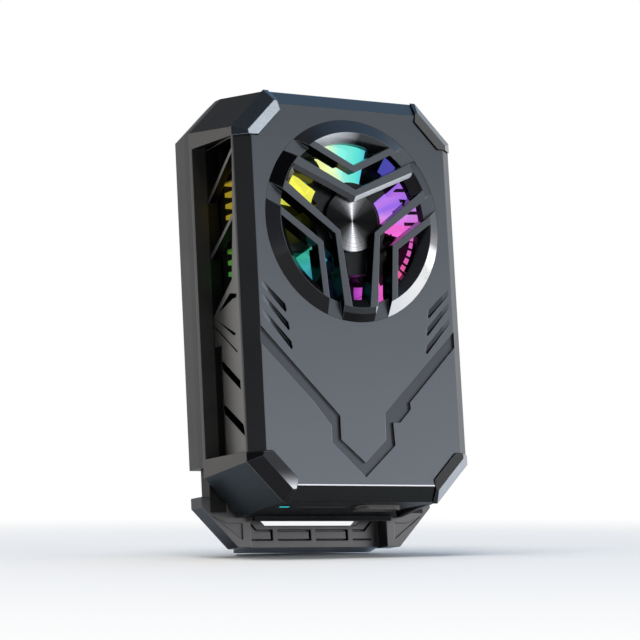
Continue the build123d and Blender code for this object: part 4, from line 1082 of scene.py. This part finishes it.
@dataclass
class LitFan:
    """Fan, hub cap with its painted highlight, and everything that its light colours.

    Args:
        power: Strength of the light on the fins and ring.
        blade_power: Strength on the blades.
        duct_power: Strength on the duct.
        fin_root: Place along Y of the fins' roots.
        end_half_width: Half width beyond which the fins' ends start.
        side_low: Lowest height at which the fins' ends are lit.
        side_high: Highest such height.
        end_stops: Their light, from the lowest height to the highest.
        painted_sheen_stops: Painted highlight on the hub, as grey from level to upright.
        hub_roughness: Roughness of the hub.
        groove_scale: Scale of its turned grooves.
        groove_detail: Fine detail of the grooves.
        groove_depth: Their depth.
        groove_tone: Gain and offset of their shade.
    """

    power: float = 1.0
    blade_power: float = 0.9
    duct_power: float = 0.8
    fin_root: float = -9.75 * MM
    end_half_width: float = 17.5 * MM
    side_low: float = 3.5 * MM
    side_high: float = 23.5 * MM
    end_stops: Stops = (
        (0.0, BLACK), (0.03, (0.03, 0.19, 0.04)), (0.30, (0.07, 0.21, 0.02)), (0.36, BLACK),
        (0.50, BLACK), (0.56, (0.27, 0.22, 0.015)), (0.97, (0.33, 0.23, 0.015)), (1.0, BLACK))
    painted_sheen_stops: Stops = ((0.0, 0.006), (0.45, 0.010), (0.78, 0.050), (0.93, 0.17),
                          (0.985, 0.42), (1.0, 0.95))
    hub_roughness: float = 0.30
    groove_scale: float = 5200.0
    groove_detail: float = 3.0
    groove_depth: float = 0.003 * MM
    groove_tone: tuple[float, float] = (1.3, 0.30)

    def lit_material(self, name: str, finish: Finish, strength: float) -> bpy.types.Material:
        """Surface that the fan's light washes in its lit sectors, painted as emission.

        Args:
            name: Material name.
            finish: Solid finish under the light.
            strength: Emission strength in a fully lit sector.

        Returns:
            The material.
        """
        material, graph, shader = MATERIALS.blank(name)
        MATERIALS.lacquer(graph, shader, finish)
        glow = graph.group(SHOP.glow()).outputs
        graph.link(graph.scale(glow["Color"], glow["Level"]), shader.inputs["Emission Color"])
        shader.inputs["Emission Strength"].default_value = strength
        return material

    def fin_material(self) -> bpy.types.Material:
        """Black fins with the fan's light painted as emission in front and coloured light
        painted at their ends.

        Returns:
            The material.
        """
        material, graph, shader = MATERIALS.blank("lit_fins")
        MATERIALS.lacquer(graph, shader, FAN_BLACK)
        glow = graph.group(SHOP.glow()).outputs
        across, deep, up = graph.split(graph.place())
        side = graph.times(graph.under(deep, self.fin_root),
                           graph.over(graph.size(across), self.end_half_width))
        rise = graph.math("DIVIDE", graph.math("SUBTRACT", up, self.side_low),
                          self.side_high - self.side_low, clamp=True)
        front = graph.times(glow["Level"], graph.math("SUBTRACT", 1.0, side))
        color = graph.mix(side, graph.scale(glow["Color"], front),
                          graph.ramp(rise, self.end_stops))
        graph.link(color, shader.inputs["Emission Color"])
        shader.inputs["Emission Strength"].default_value = self.power
        return material

    def hub_material(self) -> bpy.types.Material:
        """Turned metal: fine rings and a painted bow-shaped highlight like that of a spun cap.

        Returns:
            The material.
        """
        material, graph, shader = MATERIALS.blank("hub_steel")
        across, _, up = graph.split(graph.still_place())
        height = graph.over_axis(up)
        grooves = graph.noise(graph.length(across, height), self.groove_scale,
                              self.groove_detail, along=True)
        # Painted highlight: an upright bright streak through the hub, set in its colour.
        streak = graph.size(graph.math("SINE", graph.math("ARCTAN2", height, across)))
        sheen = graph.ramp(streak, self.painted_sheen_stops)
        tone = graph.scale(sheen, graph.math("MULTIPLY_ADD", grooves, *self.groove_tone))
        graph.link(tone, shader.inputs["Base Color"])
        shader.inputs["Metallic"].default_value = 1.0
        shader.inputs["Roughness"].default_value = self.hub_roughness
        bump = graph.bump(grooves, self.groove_depth, 1.0)
        graph.link(bump.outputs[0], shader.inputs["Normal"])
        return material

    def build(self, nodes: Nodes) -> None:
        """Dress the lit pieces and the hub.

        Args:
            nodes: The CAD nodes by name.
        """
        dress(nodes["heat_sink"], self.fin_material())
        dress(nodes["light_ring"], self.lit_material("lit_ring", FAN_BLACK, self.power))
        dress(nodes["fan_rotor"], self.lit_material("lit_blades", BLADE, self.blade_power))
        dress(nodes["fan_frame"], self.lit_material("lit_duct", FAN_BLACK, self.duct_power))
        dress(nodes["hub_cap"], self.hub_material())
        LOG.info("fan dressed")


@dataclass
class StatusLight:
    """Lit light pipe in the underside.

    Args:
        color: Colour of the pipe and its light.
        roughness: Roughness of the pipe.
        power: Strength of its light.
    """

    color: Color = (0.02, 0.62, 0.66)
    roughness: float = 0.3
    power: float = 0.9

    def build(self, nodes: Nodes) -> None:
        """Dress the light pipe.

        Args:
            nodes: The CAD nodes by name.
        """
        material, _, shader = MATERIALS.blank("light_cyan")
        for socket, value in (("Base Color", rgba(self.color)), ("Roughness", self.roughness),
                              ("Emission Color", rgba(self.color)),
                              ("Emission Strength", self.power)):
            shader.inputs[socket].default_value = value
        dress(nodes["indicator_light"], material)
        LOG.info("status light dressed")


@dataclass
class ViewPoint:
    """Camera that looks at the object as the photograph does.

    Args:
        azimuth_deg: Turn round the object.
        elevation_deg: Height above the horizon.
        roll_deg: Roll about the line of sight.
        distance: Distance from the target.
        target: Point looked at.
        lens: Focal length in Blender's millimetres.
        sensor: Width of the sensor in the same.
        near: Nearest distance seen.
        shift: Picture shift across and up.
        floor_pitch_deg: Angle between the line of sight and the floor.
    """

    azimuth_deg: float = -32.67
    elevation_deg: float = -8.96
    roll_deg: float = -2.98
    distance: float = 546.63 * MM
    target: Way = (0.0, -12.0 * MM, 0.0)
    lens: float = 158.92
    sensor: float = 36.0
    near: float = 10.0 * MM
    shift: tuple[float, float] = (-0.0057, -0.0221)
    floor_pitch_deg: float = 3.0

    def axes(self) -> tuple[Vector, Vector, Vector]:
        """Work out how the camera is turned.

        Returns:
            Its right, up and back directions.
        """
        turn = math.radians(self.azimuth_deg)
        lift = math.radians(self.elevation_deg)
        roll = math.radians(self.roll_deg)
        back = Vector((math.sin(turn) * math.cos(lift), -math.cos(turn) * math.cos(lift),
                       math.sin(lift)))
        right = Vector((math.cos(turn), math.sin(turn), 0.0))
        up = back.cross(right)
        level = right * math.cos(roll) + up * math.sin(roll)
        upright = up * math.cos(roll) - right * math.sin(roll)
        return level, upright, back

    def build(self) -> None:
        """Make the camera."""
        right, up, back = self.axes()
        data = bpy.data.cameras.new("view")
        data.sensor_width = self.sensor
        data.lens = self.lens
        data.shift_x, data.shift_y = self.shift
        data.clip_start = self.near
        camera = bpy.data.objects.new("view", data)
        place = Vector(self.target) + back * self.distance
        turn = Matrix((right, up, back)).transposed()
        camera.matrix_world = Matrix.Translation(place) @ turn.to_4x4()
        bpy.context.scene.collection.objects.link(camera)
        bpy.context.scene.camera = camera
        LOG.info("camera set")

    def floor_normal(self) -> Vector:
        """Work out the floor's tilt.

        Returns:
            Direction that the floor faces.
        """
        _, up, back = self.axes()
        pitch = math.radians(self.floor_pitch_deg)
        return (up * math.cos(pitch) - back * math.sin(pitch)).normalized()


@dataclass(frozen=True)
class Lamp:
    """One soft white area lamp.

    Args:
        name: Lamp name.
        way: Direction from the object to the lamp.
        distance: Distance from the object.
        side: Width and height of its face.
        power: Watts.
    """

    name: str
    way: Way
    distance: float
    side: float
    power: float

    def build(self, middle: Vector) -> None:
        """Make the lamp.

        Args:
            middle: Point that it shines at.
        """
        data = bpy.data.lights.new(self.name, "AREA")
        data.shape = "RECTANGLE"
        data.size = data.size_y = self.side
        data.energy = self.power
        lamp = bpy.data.objects.new(self.name, data)
        lamp.visible_glossy = False
        way = Vector(self.way).normalized()
        lamp.location = middle + way * self.distance
        lamp.rotation_mode = "QUATERNION"
        lamp.rotation_quaternion = way.to_track_quat("Z", "Y")
        bpy.context.scene.collection.objects.link(lamp)
        LOG.info("lamp %s", self.name)


@dataclass(frozen=True)
class Patch:
    """One soft bright patch of the studio round the object.

    Args:
        way: Direction of its middle.
        inner_deg: Angle up to which it is fully bright.
        outer_deg: Angle where it has faded out.
        color: Its radiance, linear RGB.
    """

    way: Way
    inner_deg: float
    outer_deg: float
    color: Color


@dataclass
class Studio:
    """Floor, world and lamps.

    Args:
        floor_gap: Gap under the lowest point of the object.
        floor_side: Side of the square floor.
        floor_color: Floor colour, linear RGB.
        floor_roughness: Roughness of the floor.
        floor_specular: Specular level of the floor.
        floor_fade: Distances from the object between which the floor turns white.
        room: Radiance of the dark side of the studio.
        backdrop: Radiance of the pale backdrop that mirrors show.
        backdrop_edge: Gain and offset of its edge, by how far behind it lies.
        backdrop_reach: Gain and offset of its end, by height.
        patches: Soft bright patches round the object.
        lamp: The soft lamp.
    """

    floor_gap: float = 0.2 * MM
    floor_side: float = 6.0
    floor_color: Color = (0.86, 0.825, 0.785)
    floor_roughness: float = 0.9
    floor_specular: float = 0.1
    floor_fade: tuple[float, float] = (0.05, 0.32)
    room: Color = (0.13, 0.145, 0.165)
    backdrop: Color = (0.90, 0.90, 0.90)
    backdrop_edge: tuple[float, float] = (4.0, -0.6)
    backdrop_reach: tuple[float, float] = (-5.0, 2.75)
    patches: tuple[Patch, ...] = (
        Patch((0.60, -0.79, 0.05), 8.0, 34.0, (0.85, 0.87, 0.92)),
        Patch((0.93, -0.30, 0.12), 10.0, 38.0, (1.30, 1.32, 1.36)),
        Patch((0.99, -0.08, -0.10), 5.0, 16.0, (4.2, 4.2, 4.2)),
        Patch((0.31, -0.86, 0.38), 3.0, 9.0, (3.6, 3.6, 3.7)),
        Patch((0.53, 0.0, 0.85), 12.0, 42.0, (0.26, 0.46, 0.72)),
        Patch((0.80, 0.43, 0.42), 10.0, 34.0, (0.30, 0.55, 0.85)),
    )
    lamp: Lamp = Lamp("overhead", (-0.25, -0.20, 1.0), 0.60, 0.42, 3.0)

    def world(self) -> None:
        """Pale backdrop behind the object and a dim studio with soft patches before it."""
        world = bpy.data.worlds.new("studio")
        world.use_nodes = True
        bpy.context.scene.world = world
        graph = Graph(world.node_tree)
        world.node_tree.nodes.clear()
        out = graph.add("ShaderNodeOutputWorld")
        shade = graph.add("ShaderNodeBackground")
        path = graph.add("ShaderNodeLightPath").outputs
        way = graph.add("ShaderNodeTexCoord").outputs["Generated"]
        _, depth, up = graph.split(way)
        behind = graph.math("MULTIPLY_ADD", depth, *self.backdrop_edge, clamp=True)
        level = graph.math("MULTIPLY_ADD", graph.size(up), *self.backdrop_reach, clamp=True)
        backdrop = graph.times(behind, level)
        color = graph.mix(backdrop, self.room, self.backdrop)
        for patch in self.patches:
            outer, inner = (math.cos(math.radians(angle))
                            for angle in (patch.outer_deg, patch.inner_deg))
            soft = graph.smooth(graph.dot(way, Vector(patch.way).normalized()), outer, inner)
            color = graph.vector("MULTIPLY_ADD", patch.color, soft, color).outputs[0]
        seen = graph.math("ADD", path["Is Camera Ray"], path["Is Transmission Ray"],
                          clamp=True)
        seen = graph.math("MULTIPLY_ADD", path["Is Glossy Ray"], backdrop, seen, clamp=True)
        graph.link(graph.mix(seen, color, WHITE), shade.inputs["Color"])
        graph.link(shade.outputs[0], out.inputs["Surface"])

    def floor_material(self, middle: Vector) -> bpy.types.Material:
        """Matt pale floor that runs out into the white backdrop.

        Args:
            middle: Point of the floor under the object.

        Returns:
            The material.
        """
        material, graph, shader = MATERIALS.blank("floor")
        shader.inputs["Base Color"].default_value = rgba(self.floor_color)
        shader.inputs["Roughness"].default_value = self.floor_roughness
        shader.inputs["Specular IOR Level"].default_value = self.floor_specular
        apart = graph.vector("DISTANCE", graph.still_place(), middle).outputs["Value"]
        far = graph.smooth(apart, *self.floor_fade)
        path = graph.add("ShaderNodeLightPath").outputs
        mirrored = graph.math("ADD", path["Is Glossy Ray"], path["Is Transmission Ray"])
        seen = graph.math("ADD", path["Is Camera Ray"], mirrored, clamp=True)
        white = graph.add("ShaderNodeEmission")
        join = graph.add("ShaderNodeMixShader")
        graph.link(graph.times(seen, far), join.inputs[0])
        graph.link(shader.outputs[0], join.inputs[1])
        graph.link(white.outputs[0], join.inputs[2])
        out = next(n for n in material.node_tree.nodes if n.type == "OUTPUT_MATERIAL")
        graph.link(join.outputs[0], out.inputs["Surface"])
        return material

    def floor(self, normal: Vector, lowest: Vector, foot: bpy.types.Object) -> None:
        """Plain pale floor just under the object, which stands on its jaw.

        Args:
            normal: Direction that the floor faces.
            lowest: Lowest point of the object along it.
            foot: Body that the object stands on; the floor stays under it.
        """
        half = self.floor_side / 2.0
        mesh = bpy.data.meshes.new("floor")
        mesh.from_pydata([(-half, -half, 0.0), (half, -half, 0.0), (half, half, 0.0),
                          (-half, half, 0.0)], [], [(0, 1, 2, 3)])
        floor = bpy.data.objects.new("floor", mesh)
        floor.rotation_mode = "QUATERNION"
        floor.rotation_quaternion = normal.to_track_quat("Z", "Y")
        floor.location = lowest - normal * self.floor_gap
        floor.parent = foot
        bpy.context.scene.collection.objects.link(floor)
        mesh.materials.append(self.floor_material(floor.location))
        LOG.info("floor set")

    def build(self, view: ViewPoint, nodes: Nodes, foot: bpy.types.Object) -> None:
        """Make the world, floor and lamp.

        Args:
            view: The camera's stand.
            nodes: The CAD nodes by name.
            foot: Body that the object stands on.
        """
        self.world()
        normal = view.floor_normal()
        corners = [node.matrix_world @ vertex.co for node in nodes.values()
                   for vertex in node.data.vertices]
        lowest = min(corners, key=lambda corner: corner.dot(normal))
        self.floor(normal, lowest, foot)
        self.lamp.build(Vector(view.target))


def main() -> None:
    """Load the frame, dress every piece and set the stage."""
    logging.basicConfig(level=logging.INFO)
    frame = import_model()
    nodes = frame["nodes"]
    bpy.context.scene.view_settings.view_transform = "Standard"
    view = ViewPoint()
    view.build()
    for name, finish in NODE_FINISH.items():
        dress(nodes[name], MATERIALS.solid(finish))
        LOG.info("%s in %s", name, finish.name)
    for part in (FrontCover(), FanGuard(), DarkCorner(), SideParts(), LitFan(), StatusLight()):
        part.build(nodes)
    Studio().build(view, nodes, frame["bodies"]["jaw"])


if __name__ == "__main__":
    main()
